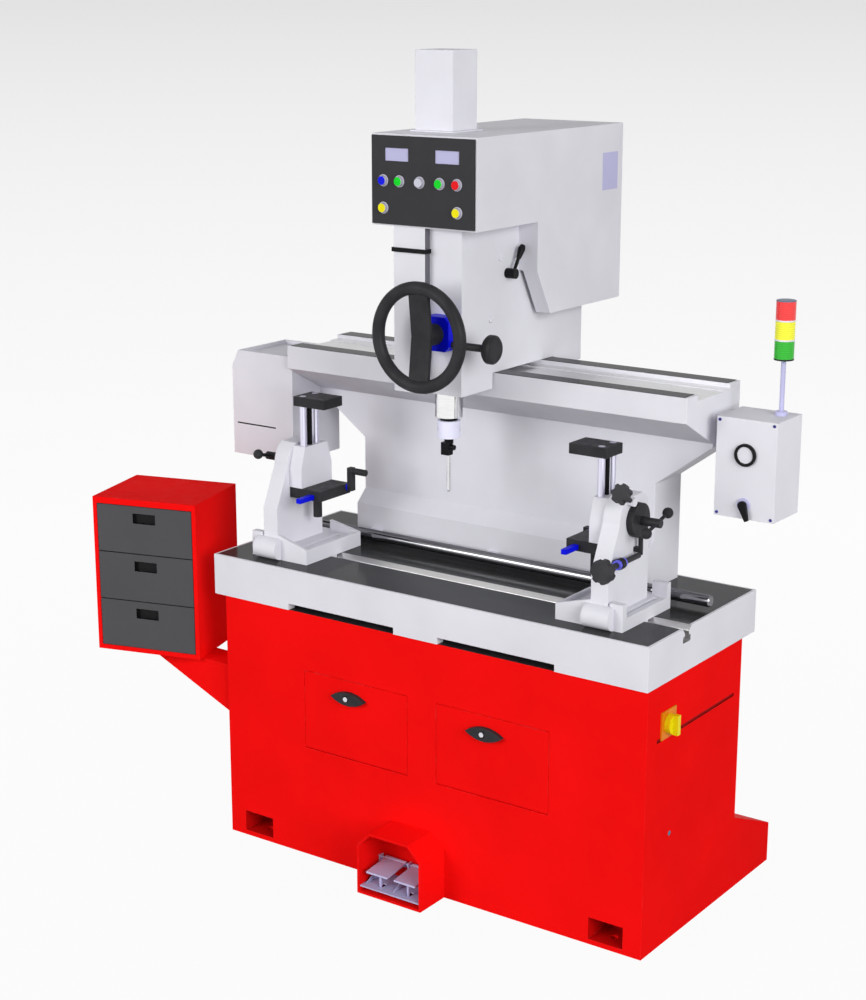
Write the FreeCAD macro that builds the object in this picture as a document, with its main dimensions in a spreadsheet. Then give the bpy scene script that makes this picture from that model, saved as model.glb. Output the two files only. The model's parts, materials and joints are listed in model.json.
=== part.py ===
import FreeCAD, Part
import math
import os
import Sketcher
from FreeCAD import Rotation, Vector

# Valve seat and guide machine: a cutting head that floats along a bridge above a slotted table,
# with two work fixtures, a red cabinet base, a swivelling drawer cabinet and a control box.
# Frame: millimetres, +X to the operator's right, +Y to the rear, +Z up, origin on the floor.

doc = FreeCAD.newDocument("seat_and_guide_machine")
sheet = doc.addObject("Spreadsheet::Sheet", "sizes")
nodes = []


class Dim:
    """A length: its number, and the sheet expression that the number comes from."""

    def __init__(self, value, text):
        self.value = value
        self.text = text

    def __add__(self, other):
        other = dim(other)
        return Dim(self.value + other.value, f"({self.text} + {other.text})")

    def __sub__(self, other):
        other = dim(other)
        return Dim(self.value - other.value, f"({self.text} - {other.text})")

    def __mul__(self, other):
        other = dim(other)
        return Dim(self.value * other.value, f"({self.text} * {other.text})")

    def __truediv__(self, other):
        other = dim(other)
        return Dim(self.value / other.value, f"({self.text} / {other.text})")

    def __neg__(self):
        return Dim(-self.value, f"(0 - {self.text})")

    def __rsub__(self, other):
        return dim(other) - self

    __radd__ = __add__
    __rmul__ = __mul__


def dim(number):
    """A plain number as a length."""
    if isinstance(number, Dim):
        return number
    return Dim(number, f"({number})")


def sine(angle):
    """The sine of an angle of the sheet, in degrees."""
    return Dim(math.sin(math.radians(angle.value)), f"sin({angle.text} * 1 deg)")


def cosine(angle):
    """The cosine of an angle of the sheet, in degrees."""
    return Dim(math.cos(math.radians(angle.value)), f"cos({angle.text} * 1 deg)")


def size(name, number):
    """A driving dimension: one named cell of the sheet."""
    row = len(sheet.getUsedCells()) // 2 + 1
    sheet.set(f"A{row}", name)
    sheet.set(f"B{row}", str(number))
    sheet.setAlias(f"B{row}", name)
    return Dim(number, f"sizes.{name}")


# Clearances
run_gap = size("run_gap", 0.3)
pin_gap = size("pin_gap", 0.05)
cut_over = size("cut_over", 2)

# Table with its slot and the bar behind the fixtures
origin_setback = size("origin_setback", 250)
table_length = size("table_length", 1350)
table_depth = size("table_depth", 560)
table_height = size("table_height", 806)
table_thickness = size("table_thickness", 113)
table_wall = size("table_wall", 28)
table_top = size("table_top", 60)
notch_height = size("notch_height", 18)
notch_length = size("notch_length", 347)
notch_inner = size("notch_inner", 69)
slot_setback = size("slot_setback", 188)
slot_lip = size("slot_lip", 46)
slot_lip_depth = size("slot_lip_depth", 12)
slot_mouth = size("slot_mouth", 22)
slot_neck_depth = size("slot_neck_depth", 22)
slot_head = size("slot_head", 38)
slot_depth = size("slot_depth", 38)
bar_setback = size("bar_setback", 334)
bar_rise = size("bar_rise", 24)
bar_diameter = size("bar_diameter", 30)
bar_length = size("bar_length", 1324)
bar_chamfer = size("bar_chamfer", 3)
saddle_width = size("saddle_width", 36)
saddle_height = size("saddle_height", 22)
saddle_inset = size("saddle_inset", 70)

# Red base with its rear plinth, anchor pockets, flap doors and main switch
base_inset_left = size("base_inset_left", 35)
base_inset_front = size("base_inset_front", 4)
base_depth = size("base_depth", 486)
base_wall = size("base_wall", 10)
base_floor = size("base_floor", 14)
base_top = size("base_top", 12)
plinth_depth = size("plinth_depth", 210)
plinth_front_height = size("plinth_front_height", 200)
plinth_rear_height = size("plinth_rear_height", 110)
pocket_inset = size("pocket_inset", 52)
pocket_width = size("pocket_width", 98)
pocket_height = size("pocket_height", 58)
pocket_depth = size("pocket_depth", 90)
anchor_hole_diameter = size("anchor_hole_diameter", 22)
door_width = size("door_width", 338)
door_height = size("door_height", 219)
door_drop = size("door_drop", 380)
door_thickness = size("door_thickness", 8)
door_gap = size("door_gap", 1.5)
door_left_centre = size("door_left_centre", 198)
door_right_centre = size("door_right_centre", 233)
hinge_pin_diameter = size("hinge_pin_diameter", 5)
hinge_pin_reach = size("hinge_pin_reach", 6)
latch_length = size("latch_length", 110)
latch_height = size("latch_height", 36)
latch_thickness = size("latch_thickness", 13)
latch_drop = size("latch_drop", 46)
latch_offset = size("latch_offset", 17)
latch_pin_diameter = size("latch_pin_diameter", 12)
cam_length = size("cam_length", 60)
cam_width = size("cam_width", 16)
cam_thickness = size("cam_thickness", 4)
lip_setback = size("lip_setback", 52)
lip_length = size("lip_length", 402)
lip_drop = size("lip_drop", 144)
lip_height = size("lip_height", 9)
lip_cut = size("lip_cut", 5)
switch_setback = size("switch_setback", 102)
switch_drop = size("switch_drop", 105)
switch_plate_width = size("switch_plate_width", 71)
switch_plate_thickness = size("switch_plate_thickness", 5)
switch_dial_diameter = size("switch_dial_diameter", 50)
switch_dial_thickness = size("switch_dial_thickness", 14)
switch_grip_width = size("switch_grip_width", 14)
switch_grip_height = size("switch_grip_height", 13)
switch_shaft_diameter = size("switch_shaft_diameter", 10)

# Foot pedals under their hood
hood_centre = size("hood_centre", -12)
hood_width = size("hood_width", 204)
hood_height = size("hood_height", 176)
hood_reach = size("hood_reach", 107)
hood_chamfer = size("hood_chamfer", 40)
hood_wall = size("hood_wall", 6)
tray_level = size("tray_level", 18)
tray_thickness = size("tray_thickness", 4)
tray_margin = size("tray_margin", 4)
pedal_width = size("pedal_width", 68)
pedal_space = size("pedal_space", 21)
pedal_depth = size("pedal_depth", 86)
pedal_thickness = size("pedal_thickness", 5)
pedal_front_level = size("pedal_front_level", 58)
pedal_rise = size("pedal_rise", 10)
pedal_shaft_diameter = size("pedal_shaft_diameter", 8)
pedal_barrel_diameter = size("pedal_barrel_diameter", 16)
pedal_axis_setback = size("pedal_axis_setback", 12)
pedal_post_diameter = size("pedal_post_diameter", 8)
pedal_post_setback = size("pedal_post_setback", 18)
ear_thickness = size("ear_thickness", 5)
post_slot_width = size("post_slot_width", 12)
post_slot_length = size("post_slot_length", 26)

# Column, bridge beam and its ways
column_setback = size("column_setback", 400)
column_depth = size("column_depth", 137)
column_width = size("column_width", 920)
column_wall = size("column_wall", 25)
foot_setback = size("foot_setback", 362)
foot_height = size("foot_height", 99)
foot_slope = size("foot_slope", 36)
gusset_drop = size("gusset_drop", 124)
gusset_rise = size("gusset_rise", 114)
beam_length = size("beam_length", 1234)
beam_setback = size("beam_setback", 258)
bridge_rise = size("bridge_rise", 404)
beam_band = size("beam_band", 63)
beam_height = size("beam_height", 138)
way_width = size("way_width", 50)
way_margin = size("way_margin", 3)
way_sink = size("way_sink", 6)
way_proud = size("way_proud", 1)
way_short = size("way_short", 10)
channel_depth = size("channel_depth", 14)
channel_shelf = size("channel_shelf", 34)
shelf_rise = size("shelf_rise", 3)

# Service box at the bridge's left end
service_width = size("service_width", 218)
service_setback = size("service_setback", 277)
service_depth = size("service_depth", 208)
service_drop = size("service_drop", 333)
service_height = size("service_height", 298)
service_wall = size("service_wall", 4)
service_corner_width = size("service_corner_width", 22)
service_corner_height = size("service_corner_height", 44)
service_rim = size("service_rim", 9)
service_sink = size("service_sink", 10)
slit_rise = size("slit_rise", 88)
slit_length = size("slit_length", 140)
slit_inset = size("slit_inset", 15)
slit_height = size("slit_height", 3)

# Control box at the bridge's right end, with its gauge, selector and signal tower
control_gap = size("control_gap", 34)
control_width = size("control_width", 160)
control_setback = size("control_setback", 350)
control_depth = size("control_depth", 131)
control_drop = size("control_drop", 300)
control_height = size("control_height", 247)
control_wall = size("control_wall", 3)
control_lid = size("control_lid", 5)
arm_setback = size("arm_setback", 410)
arm_depth = size("arm_depth", 60)
arm_drop = size("arm_drop", 63)
arm_height = size("arm_height", 60)
gauge_rise = size("gauge_rise", 160)
gauge_diameter = size("gauge_diameter", 56)
gauge_glass_diameter = size("gauge_glass_diameter", 42)
gauge_proud = size("gauge_proud", 8)
gauge_sink = size("gauge_sink", 4)
selector_rise = size("selector_rise", 36)
selector_base_diameter = size("selector_base_diameter", 34)
selector_base_thickness = size("selector_base_thickness", 5)
selector_hub_diameter = size("selector_hub_diameter", 22)
selector_hub_thickness = size("selector_hub_thickness", 9)
selector_length = size("selector_length", 40)
selector_tip = size("selector_tip", 9)
selector_lean = size("selector_lean", 20)
selector_shaft_diameter = size("selector_shaft_diameter", 8)
tower_offset = size("tower_offset", 124)
tower_setback = size("tower_setback", 443)
tower_pole_diameter = size("tower_pole_diameter", 12)
tower_foot_diameter = size("tower_foot_diameter", 30)
tower_foot_height = size("tower_foot_height", 10)
tower_pole_length = size("tower_pole_length", 138)
tower_lens_diameter = size("tower_lens_diameter", 48)
tower_lens_height = size("tower_lens_height", 47)

# Swivelling drawer cabinet and its bracket
cabinet_place = size("cabinet_place", -929)
cabinet_setback = size("cabinet_setback", 84)
cabinet_turn = size("cabinet_turn", 16)
cabinet_width = size("cabinet_width", 316)
cabinet_depth = size("cabinet_depth", 262)
cabinet_height = size("cabinet_height", 445)
cabinet_side = size("cabinet_side", 12)
cabinet_roof = size("cabinet_roof", 18)
cabinet_floor = size("cabinet_floor", 13)
bracket_drop = size("bracket_drop", 208)
bracket_setback = size("bracket_setback", 18)
bracket_width = size("bracket_width", 92)
bracket_root = size("bracket_root", 140)
bracket_tip = size("bracket_tip", 24)
bracket_over = size("bracket_over", 34)
bracket_flat = size("bracket_flat", 56)
pivot_diameter = size("pivot_diameter", 30)
pivot_length = size("pivot_length", 20)
drawer_gap = size("drawer_gap", 1.5)
drawer_front = size("drawer_front", 18)
drawer_wall = size("drawer_wall", 3)
drawer_box_height = size("drawer_box_height", 100)
drawer_back_gap = size("drawer_back_gap", 16)
runner_width = size("runner_width", 10)
runner_thickness = size("runner_thickness", 4)
pull_width = size("pull_width", 68)
pull_height = size("pull_height", 28)
pull_drop = size("pull_drop", 20)
pull_sink = size("pull_sink", 11)

# Head casting, cover, panel and mast
spindle_place = size("spindle_place", -31)
spindle_setback = size("spindle_setback", 194)
head_width = size("head_width", 191)
head_setback = size("head_setback", 111)
head_front_depth = size("head_front_depth", 139)
head_rear_gap = size("head_rear_gap", 8)
head_rear_depth = size("head_rear_depth", 137)
head_nose_drop = size("head_nose_drop", 39)
head_tail_drop = size("head_tail_drop", 27)
head_rise = size("head_rise", 376)
head_wall = size("head_wall", 22)
head_floor = size("head_floor", 30)
post_proud = size("post_proud", 21)
cover_setback = size("cover_setback", 90)
cover_length = size("cover_length", 693)
cover_width = size("cover_width", 315)
cover_place = size("cover_place", -35.5)
cover_height = size("cover_height", 225)
cover_wall = size("cover_wall", 6)
skirt_setback = size("skirt_setback", 366)
skirt_drop = size("skirt_drop", 126)
skirt_slant = size("skirt_slant", 64)
skirt_height = size("skirt_height", 240)
skirt_gap = size("skirt_gap", 14)
panel_thickness = size("panel_thickness", 6)
panel_margin = size("panel_margin", 4)
window_width = size("window_width", 71)
window_height = size("window_height", 32)
window_rise = size("window_rise", 175)
window_left = size("window_left", -113)
window_right = size("window_right", 38)
window_sink = size("window_sink", 3)
button_diameter = size("button_diameter", 23)
button_proud = size("button_proud", 9)
button_travel = size("button_travel", 4)
button_stem_diameter = size("button_stem_diameter", 10)
button_stem_length = size("button_stem_length", 20)
button_rise = size("button_rise", 111)
blue_place = size("blue_place", -153)
green_left_place = size("green_left_place", -104)
grey_place = size("grey_place", -43)
green_right_place = size("green_right_place", 17)
red_place = size("red_place", 68)
button_low_rise = size("button_low_rise", 44)
yellow_left_place = size("yellow_left_place", -153)
yellow_right_place = size("yellow_right_place", 69)
mast_place = size("mast_place", -75.5)
mast_setback = size("mast_setback", 190)
mast_width = size("mast_width", 113)
mast_depth = size("mast_depth", 107)
mast_height = size("mast_height", 199)
mast_wall = size("mast_wall", 3)
mast_flange = size("mast_flange", 10)
mast_flange_thickness = size("mast_flange_thickness", 4)

# Quill, spindle, drive and tool
quill_diameter = size("quill_diameter", 70)
quill_drop = size("quill_drop", 113)
quill_length = size("quill_length", 425)
rack_offset = size("rack_offset", 25)
rack_margin = size("rack_margin", 10)
spindle_diameter = size("spindle_diameter", 30)
spindle_rise = size("spindle_rise", 201)
collar_diameter = size("collar_diameter", 60)
collar_height = size("collar_height", 45)
neck_diameter = size("neck_diameter", 44)
neck_height = size("neck_height", 9)
socket_diameter = size("socket_diameter", 20)
socket_depth = size("socket_depth", 40)
holder_diameter = size("holder_diameter", 24)
holder_height = size("holder_height", 47)
bit_block_reach = size("bit_block_reach", 18)
bit_block_back = size("bit_block_back", 6)
bit_block_height = size("bit_block_height", 33)
bit_block_depth = size("bit_block_depth", 20)
bit_screw_reach = size("bit_screw_reach", 18)
bit_screw_rise = size("bit_screw_rise", 21)
bit_screw_diameter = size("bit_screw_diameter", 14)
pilot_diameter = size("pilot_diameter", 10)
pilot_length = size("pilot_length", 97)
pilot_tip = size("pilot_tip", 4)
sleeve_diameter = size("sleeve_diameter", 60)
sleeve_height = size("sleeve_height", 130)
motor_width = size("motor_width", 150)
motor_height = size("motor_height", 142)
motor_floor = size("motor_floor", 6)

# Hand feed: wheel, pinion, gearbox, fine knob; lock lever and depth stop
pinion_diameter = size("pinion_diameter", 40)
pinion_length = size("pinion_length", 58)
feed_shaft_diameter = size("feed_shaft_diameter", 20)
feed_rise = size("feed_rise", 122)
wheel_setback = size("wheel_setback", 0)
wheel_diameter = size("wheel_diameter", 276)
rim_diameter = size("rim_diameter", 32)
spoke_width = size("spoke_width", 56)
spoke_thickness = size("spoke_thickness", 12)
spoke_dish = size("spoke_dish", 14)
hub_diameter = size("hub_diameter", 54)
gearbox_width = size("gearbox_width", 82)
gearbox_height = size("gearbox_height", 86)
gearbox_depth = size("gearbox_depth", 43)
gearbox_chamfer = size("gearbox_chamfer", 12)
fine_drop = size("fine_drop", 26)
fine_setback = size("fine_setback", 88)
fine_shaft_diameter = size("fine_shaft_diameter", 19)
fine_shaft_reach = size("fine_shaft_reach", 102)
fine_shaft_seat = size("fine_shaft_seat", 22)
fine_knob_diameter = size("fine_knob_diameter", 72)
fine_knob_thickness = size("fine_knob_thickness", 25)
fine_knob_round = size("fine_knob_round", 6)
lever_setback = size("lever_setback", 312)
lever_drop = size("lever_drop", 127)
lever_turn = size("lever_turn", -33)
lever_hub_diameter = size("lever_hub_diameter", 26)
lever_hub_length = size("lever_hub_length", 28)
lever_pin_diameter = size("lever_pin_diameter", 12)
lever_pin_length = size("lever_pin_length", 18)
lever_rod_diameter = size("lever_rod_diameter", 9)
lever_rod_length = size("lever_rod_length", 44)
lever_grip_diameter = size("lever_grip_diameter", 19)
lever_grip_length = size("lever_grip_length", 36)
stop_drop = size("stop_drop", 63)
stop_height = size("stop_height", 11)
stop_wall = size("stop_wall", 4)

# Work fixtures, a mirrored pair: distances run outwards from each fixture's inner edge
left_station = size("left_station", 397)
right_station = size("right_station", 382)
fixture_setback = size("fixture_setback", 57)
fixture_depth = size("fixture_depth", 237)
fixture_width = size("fixture_width", 188)
fixture_plate = size("fixture_plate", 32)
fixture_rim = size("fixture_rim", 41)
fixture_rim_width = size("fixture_rim_width", 9)
fixture_front_web = size("fixture_front_web", 68)
fixture_rear_web = size("fixture_rear_web", 60)
fixture_web_thickness = size("fixture_web_thickness", 11)
fixture_lug_height = size("fixture_lug_height", 68)
fixture_lug_width = size("fixture_lug_width", 36)
fixture_lug_depth = size("fixture_lug_depth", 19)
fixture_slot_width = size("fixture_slot_width", 13)
fixture_slot_sink = size("fixture_slot_sink", 7)
fixture_slot_inset = size("fixture_slot_inset", 38)
fixture_hole_diameter = size("fixture_hole_diameter", 16)
tongue_depth = size("tongue_depth", 18)
upright_inner = size("upright_inner", 99)
upright_thickness = size("upright_thickness", 47)
upright_shoulder = size("upright_shoulder", 139)
tilt_setback = size("tilt_setback", 178)
tilt_rise = size("tilt_rise", 248)
upright_round = size("upright_round", 144)
upright_rise = size("upright_rise", 60)
boss_inner = size("boss_inner", 88)
boss_length = size("boss_length", 75)
boss_diameter = size("boss_diameter", 59)
boss_setback = size("boss_setback", 58)
tilt_shaft_diameter = size("tilt_shaft_diameter", 28)
dial_shaft_diameter = size("dial_shaft_diameter", 12)
dial_shaft_length = size("dial_shaft_length", 58)
block_width = size("block_width", 41)
block_front = size("block_front", 66)
block_rear = size("block_rear", 65)
block_drop = size("block_drop", 57)
block_rise = size("block_rise", 54)
block_taper = size("block_taper", 18)
block_shoulder = size("block_shoulder", 4)
jaw_over = size("jaw_over", 6)
jaw_thickness = size("jaw_thickness", 28)
jack_diameter = size("jack_diameter", 24)
jack_length = size("jack_length", 58)
jack_inset = size("jack_inset", 46)
jack_setback = size("jack_setback", 165)
clamp_over = size("clamp_over", 12)
clamp_setback = size("clamp_setback", 126)
clamp_depth = size("clamp_depth", 78)
clamp_rise = size("clamp_rise", 152)
clamp_left_rise = size("clamp_left_rise", 12)
clamp_inset = size("clamp_inset", 6)
clamp_thickness = size("clamp_thickness", 26)
guide_diameter = size("guide_diameter", 18)
guide_spacing = size("guide_spacing", 52)
guide_inset = size("guide_inset", 14)
guide_setback = size("guide_setback", 167)
guide_foot = size("guide_foot", 6)
screw_diameter = size("screw_diameter", 14)
crank_setback = size("crank_setback", 232)
crank_drop = size("crank_drop", 66)
crank_shaft_diameter = size("crank_shaft_diameter", 12)
crank_seat = size("crank_seat", 30)
crank_arm_length = size("crank_arm_length", 46)
crank_arm_width = size("crank_arm_width", 18)
crank_arm_thickness = size("crank_arm_thickness", 15)
crank_standoff = size("crank_standoff", 4)
crank_handle_length = size("crank_handle_length", 43)
crank_handle_diameter = size("crank_handle_diameter", 18)
jaw_lever_inset = size("jaw_lever_inset", 22)
jaw_lever_drop = size("jaw_lever_drop", 74)
jaw_lever_width = size("jaw_lever_width", 15)
jaw_lever_height = size("jaw_lever_height", 13)
jaw_lever_length = size("jaw_lever_length", 58)
jaw_lever_pin_diameter = size("jaw_lever_pin_diameter", 9)
jaw_lever_seat = size("jaw_lever_seat", 25)
dial_diameter = size("dial_diameter", 86)
dial_thickness = size("dial_thickness", 18)
dial_hub_diameter = size("dial_hub_diameter", 22)
dial_hub_length = size("dial_hub_length", 54)
dial_left_extra = size("dial_left_extra", 12)
dial_arm_diameter = size("dial_arm_diameter", 9)
dial_arm_length = size("dial_arm_length", 54)
dial_arm_turn = size("dial_arm_turn", 75)
dial_ball_diameter = size("dial_ball_diameter", 27)
lock_lug_forward = size("lock_lug_forward", 32)
lock_lug_rise = size("lock_lug_rise", 52)
lock_lug_length = size("lock_lug_length", 18)
lock_lug_diameter = size("lock_lug_diameter", 22)
lock_knob_turn = size("lock_knob_turn", 60)
lock_rod_diameter = size("lock_rod_diameter", 12)
lock_rod_seat = size("lock_rod_seat", 5)
lock_rod_reach = size("lock_rod_reach", 49)
star_diameter = size("star_diameter", 50)
star_thickness = size("star_thickness", 20)
star_scallop_diameter = size("star_scallop_diameter", 15)
drive_knob_inner = size("drive_knob_inner", 163)
drive_drop = size("drive_drop", 86)
drive_star_diameter = size("drive_star_diameter", 60)
drive_rod_diameter = size("drive_rod_diameter", 14)
drive_rod_front = size("drive_rod_front", 12)
drive_rod_length = size("drive_rod_length", 160)
drive_bearing_setback = size("drive_bearing_setback", 74)
drive_bearing_width = size("drive_bearing_width", 28)
drive_bearing_depth = size("drive_bearing_depth", 16)
drive_post_diameter = size("drive_post_diameter", 12)
drive_post_setback = size("drive_post_setback", 180)
drive_post_foot = size("drive_post_foot", 12)
doc.recompute()

# Planes that several pieces share
front = -origin_setback
rear = front + table_depth
half_table = table_length / 2
base_height = table_height - table_thickness
door_bottom = base_height - door_drop
lip_level = base_height - lip_drop
switch_level = base_height - switch_drop
bracket_top = base_height - bracket_drop
base_left = -half_table + base_inset_left
base_right = half_table
base_front = front + base_inset_front
base_rear = base_front + base_depth
plinth_rear = base_rear + plinth_depth
half_column = column_width / 2
half_beam = beam_length / 2
column_front = front + column_setback
column_rear = column_front + column_depth
beam_front = front + beam_setback
beam_under = table_height + bridge_rise
beam_top = beam_under + beam_height
gusset_level = beam_under - gusset_drop
service_level = beam_top - service_drop
control_level = beam_top - control_drop
tower_lens_level = control_level + control_height + tower_pole_length
head_nose_level = beam_top - head_nose_drop
head_tail_level = beam_top - head_tail_drop
head_top = beam_top + head_rise
window_level = head_top + window_rise
button_row = head_top + button_rise
button_low_row = head_top + button_low_rise
quill_level = beam_top - quill_drop
spindle_top = head_top + spindle_rise
feed_level = beam_top + feed_rise
lever_level = head_top - lever_drop
stop_level = head_top - stop_drop
tilt_level = table_height + tilt_rise
clamp_level = tilt_level + clamp_rise
way_top = beam_top + way_proud

AXIS_TURN = {
    "x": Rotation(Vector(0, 1, 0), 90),
    "y": Rotation(Vector(1, 0, 0), -90),
    "z": Rotation(),
}
PLANE_ACROSS = {"x": "YZ_Plane", "y": "XZ_Plane", "z": "XY_Plane"}
FULL_TURN = 360
QUARTER_TURN = 90
STAR_LOBES = 7
STAR_SCALLOP_REACH = 0.56


def bind(thing, prop, length):
    """Tie a property to the sheet."""
    thing.setExpression(prop, dim(length).text)


def place(thing, point):
    """Put an object's own origin at a point."""
    for axis, length in zip("xyz", point):
        bind(thing, f"Placement.Base.{axis}", length)


def point_on(axis, along, across):
    """A point from its place along one axis and on the two others, in x, y, z order."""
    rest = iter(across)
    return [along if name == axis else next(rest) for name in "xyz"]


def box(x, y, z):
    """A block between two planes along each axis."""
    block = doc.addObject("Part::Box", "block")
    for prop, (low, high) in zip(("Length", "Width", "Height"), (x, y, z)):
        bind(block, prop, dim(high) - low)
    place(block, [x[0], y[0], z[0]])
    return block


def rod(axis, centre, span, diameter):
    """A round bar along an axis between two planes."""
    bar = doc.addObject("Part::Cylinder", "bar")
    bar.Placement.Rotation = AXIS_TURN[axis]
    bind(bar, "Radius", dim(diameter) / 2)
    bind(bar, "Height", dim(span[1]) - span[0])
    place(bar, point_on(axis, span[0], centre))
    return bar


def ball(centre, diameter):
    """A sphere."""
    sphere = doc.addObject("Part::Sphere", "sphere")
    bind(sphere, "Radius", dim(diameter) / 2)
    place(sphere, centre)
    return sphere


def draw(body, plane, outline):
    """A closed outline of straight sides, each corner held at its own two distances."""
    sketch = body.newObject("Sketcher::SketchObject", "outline")
    origin = [part for part in body.Origin.OriginFeatures if part.Role == plane]
    sketch.AttachmentSupport = [(origin[0], "")]
    sketch.MapMode = "FlatFace"
    corners = [(dim(a), dim(b)) for a, b in outline]
    points = [Vector(a.value, b.value, 0) for a, b in corners]
    count = len(corners)
    for index in range(count):
        side = Part.LineSegment(points[index], points[(index + 1) % count])
        sketch.addGeometry(side, False)
    for index in range(count):
        sketch.addConstraint(Sketcher.Constraint("Coincident", index, 2, (index + 1) % count, 1))
    for index, corner in enumerate(corners):
        for kind, length in zip(("DistanceX", "DistanceY"), corner):
            held = sketch.addConstraint(Sketcher.Constraint(kind, -1, 1, index, 1, length.value))
            bind(sketch, f"Constraints[{held}]", length)
    return sketch


def prism(axis, outline, span):
    """An outline, drawn on the two other axes, pulled along an axis between two planes."""
    body = doc.addObject("PartDesign::Body", "prism")
    pad = body.newObject("PartDesign::Pad", "pull")
    pad.Profile = draw(body, PLANE_ACROSS[axis], outline)
    pad.Reversed = axis == "y"
    bind(pad, "Length", dim(span[1]) - span[0])
    body.Tip = pad
    bind(body, f"Placement.Base.{axis}", span[0])
    return body


def turned(axis, centre, start, outline):
    """A turned piece: each corner is a radius and a distance along the axis from the start."""
    body = doc.addObject("PartDesign::Body", "turning")
    turn = body.newObject("PartDesign::Revolution", "turn")
    profile = draw(body, "XZ_Plane", outline)
    turn.Profile = profile
    turn.ReferenceAxis = (profile, ["V_Axis"])
    turn.Angle = FULL_TURN
    body.Tip = turn
    body.Placement.Rotation = AXIS_TURN[axis]
    place(body, point_on(axis, start, centre))
    return body


def joined(parts):
    """Pieces fused into one."""
    if len(parts) == 1:
        return parts[0]
    fuse = doc.addObject("Part::MultiFuse", "fuse")
    fuse.Shapes = parts
    return fuse


def cut(base, tools):
    """A piece with others taken out of it."""
    result = doc.addObject("Part::Cut", "cut")
    result.Base = base
    result.Tool = joined(tools)
    return result


def common(first, second):
    """What two pieces share."""
    result = doc.addObject("Part::Common", "common")
    result.Base = first
    result.Tool = second
    return result


def grouped(parts):
    """Separate solids that count as one node."""
    group = doc.addObject("Part::Compound", "group")
    group.Links = parts
    return group


def tilted(parts, centre, angle):
    """Pieces modelled about the origin, turned about X and put at a point."""
    whole = grouped([joined(parts)])
    whole.Placement.Rotation = Rotation(Vector(1, 0, 0), dim(angle).value)
    bind(whole, "Placement.Rotation.Angle", angle)
    place(whole, centre)
    return whole


def keep(name, solid):
    """Name a finished node."""
    solid.Label = name
    nodes.append(solid)
    return solid


def around(middle, width):
    """The two planes on each side of a middle."""
    return (middle - dim(width) / 2, middle + dim(width) / 2)


def chamfered(x, z, corner):
    """A rectangle's outline with its four corners cut off."""
    return [
        (x[0] + corner, z[0]), (x[1] - corner, z[0]), (x[1], z[0] + corner), (x[1], z[1] - corner),
        (x[1] - corner, z[1]), (x[0] + corner, z[1]), (x[0], z[1] - corner), (x[0], z[0] + corner),
    ]


# Door and switch places that the base shares with its moving pieces
door_centres = {"left": -door_left_centre, "right": door_right_centre}
door_axis = (base_front + door_thickness / 2, door_bottom + door_thickness / 2)
switch_centre = (front + switch_setback, switch_level)


def base_cabinet():
    """Hollow welded base and plinth, with anchor pockets at its corners and two flap openings."""
    width = (base_left, base_right)
    inside = (base_left + base_wall, base_right - base_wall)
    shell = box(width, (base_front, base_rear), (0, base_height))
    hollow = box(inside, (base_front + base_wall, base_rear - base_wall),
                 (base_floor, base_height - base_top))
    plinth = prism("x", [
        (base_rear, 0), (plinth_rear, 0), (plinth_rear, plinth_rear_height),
        (base_rear, plinth_front_height),
    ], width)
    opening = base_rear - base_wall - cut_over
    plinth_hollow = prism("x", [
        (opening, base_floor), (plinth_rear - base_wall, base_floor),
        (plinth_rear - base_wall, plinth_rear_height - base_top), (opening, plinth_front_height - base_top),
    ], inside)
    walls = cut(joined([shell, plinth]), [hollow, plinth_hollow])
    blocks = []
    spaces = []
    pocket_top = base_floor + pocket_height
    for low in (base_left + pocket_inset, base_right - pocket_inset - pocket_width):
        across = (low, low + pocket_width)
        outside = (low - base_wall, low + pocket_width + base_wall)
        block_top = pocket_top + base_wall
        blocks.append(box(outside, (base_front, base_front + pocket_depth + base_wall), (0, block_top)))
        blocks.append(box(outside, (plinth_rear - pocket_depth - base_wall, plinth_rear), (0, block_top)))
        pocket = (base_floor, pocket_top)
        spaces.append(box(across, (base_front - cut_over, base_front + pocket_depth), pocket))
        spaces.append(box(across, (plinth_rear - pocket_depth, plinth_rear + cut_over), pocket))
        for depth in (base_front + pocket_depth / 2, plinth_rear - pocket_depth / 2):
            centre = (low + pocket_width / 2, depth)
            spaces.append(rod("z", centre, (-cut_over, base_floor + cut_over), anchor_hole_diameter))
    for middle in door_centres.values():
        across = around(middle, door_width + door_gap * 2)
        height = (door_bottom - door_gap, door_bottom + door_height + door_gap)
        spaces.append(box(across, (base_front - cut_over, base_front + base_wall + cut_over), height))
        reach = hinge_pin_reach + run_gap
        pin_span = (across[0] - reach, across[1] + reach)
        spaces.append(rod("x", door_axis, pin_span, hinge_pin_diameter + pin_gap * 2))
    lip_front = front + lip_setback
    lip_side = (base_right - lip_cut, base_right + cut_over)
    spaces.append(box(lip_side, (lip_front, lip_front + lip_length), (lip_level, lip_level + lip_height)))
    bore = switch_shaft_diameter + pin_gap * 2
    spaces.append(rod("x", switch_centre, (base_right - base_wall - cut_over, base_right + cut_over), bore))
    plate_side = (base_right, base_right + switch_plate_thickness)
    plate = box(plate_side, around(switch_centre[0], switch_plate_width),
                around(switch_level, switch_plate_width))
    plate_bore = rod("x", switch_centre, (base_right - cut_over, plate_side[1] + cut_over), bore)
    keep("base_cabinet", grouped([cut(joined([walls] + blocks), spaces), cut(plate, [plate_bore])]))


def main_switch():
    """Rotary switch knob on the base's right side."""
    start = base_right + switch_plate_thickness + run_gap
    end = start + switch_dial_thickness
    dial = rod("x", switch_centre, (start, end), switch_dial_diameter)
    grip_depth = around(switch_centre[0], switch_grip_width)
    grip = box((end, end + switch_grip_height), grip_depth, around(switch_level, switch_dial_diameter))
    shaft = rod("x", switch_centre, (base_right - base_wall - run_gap, start), switch_shaft_diameter)
    keep("main_switch_knob", joined([dial, grip, shaft]))


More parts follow.
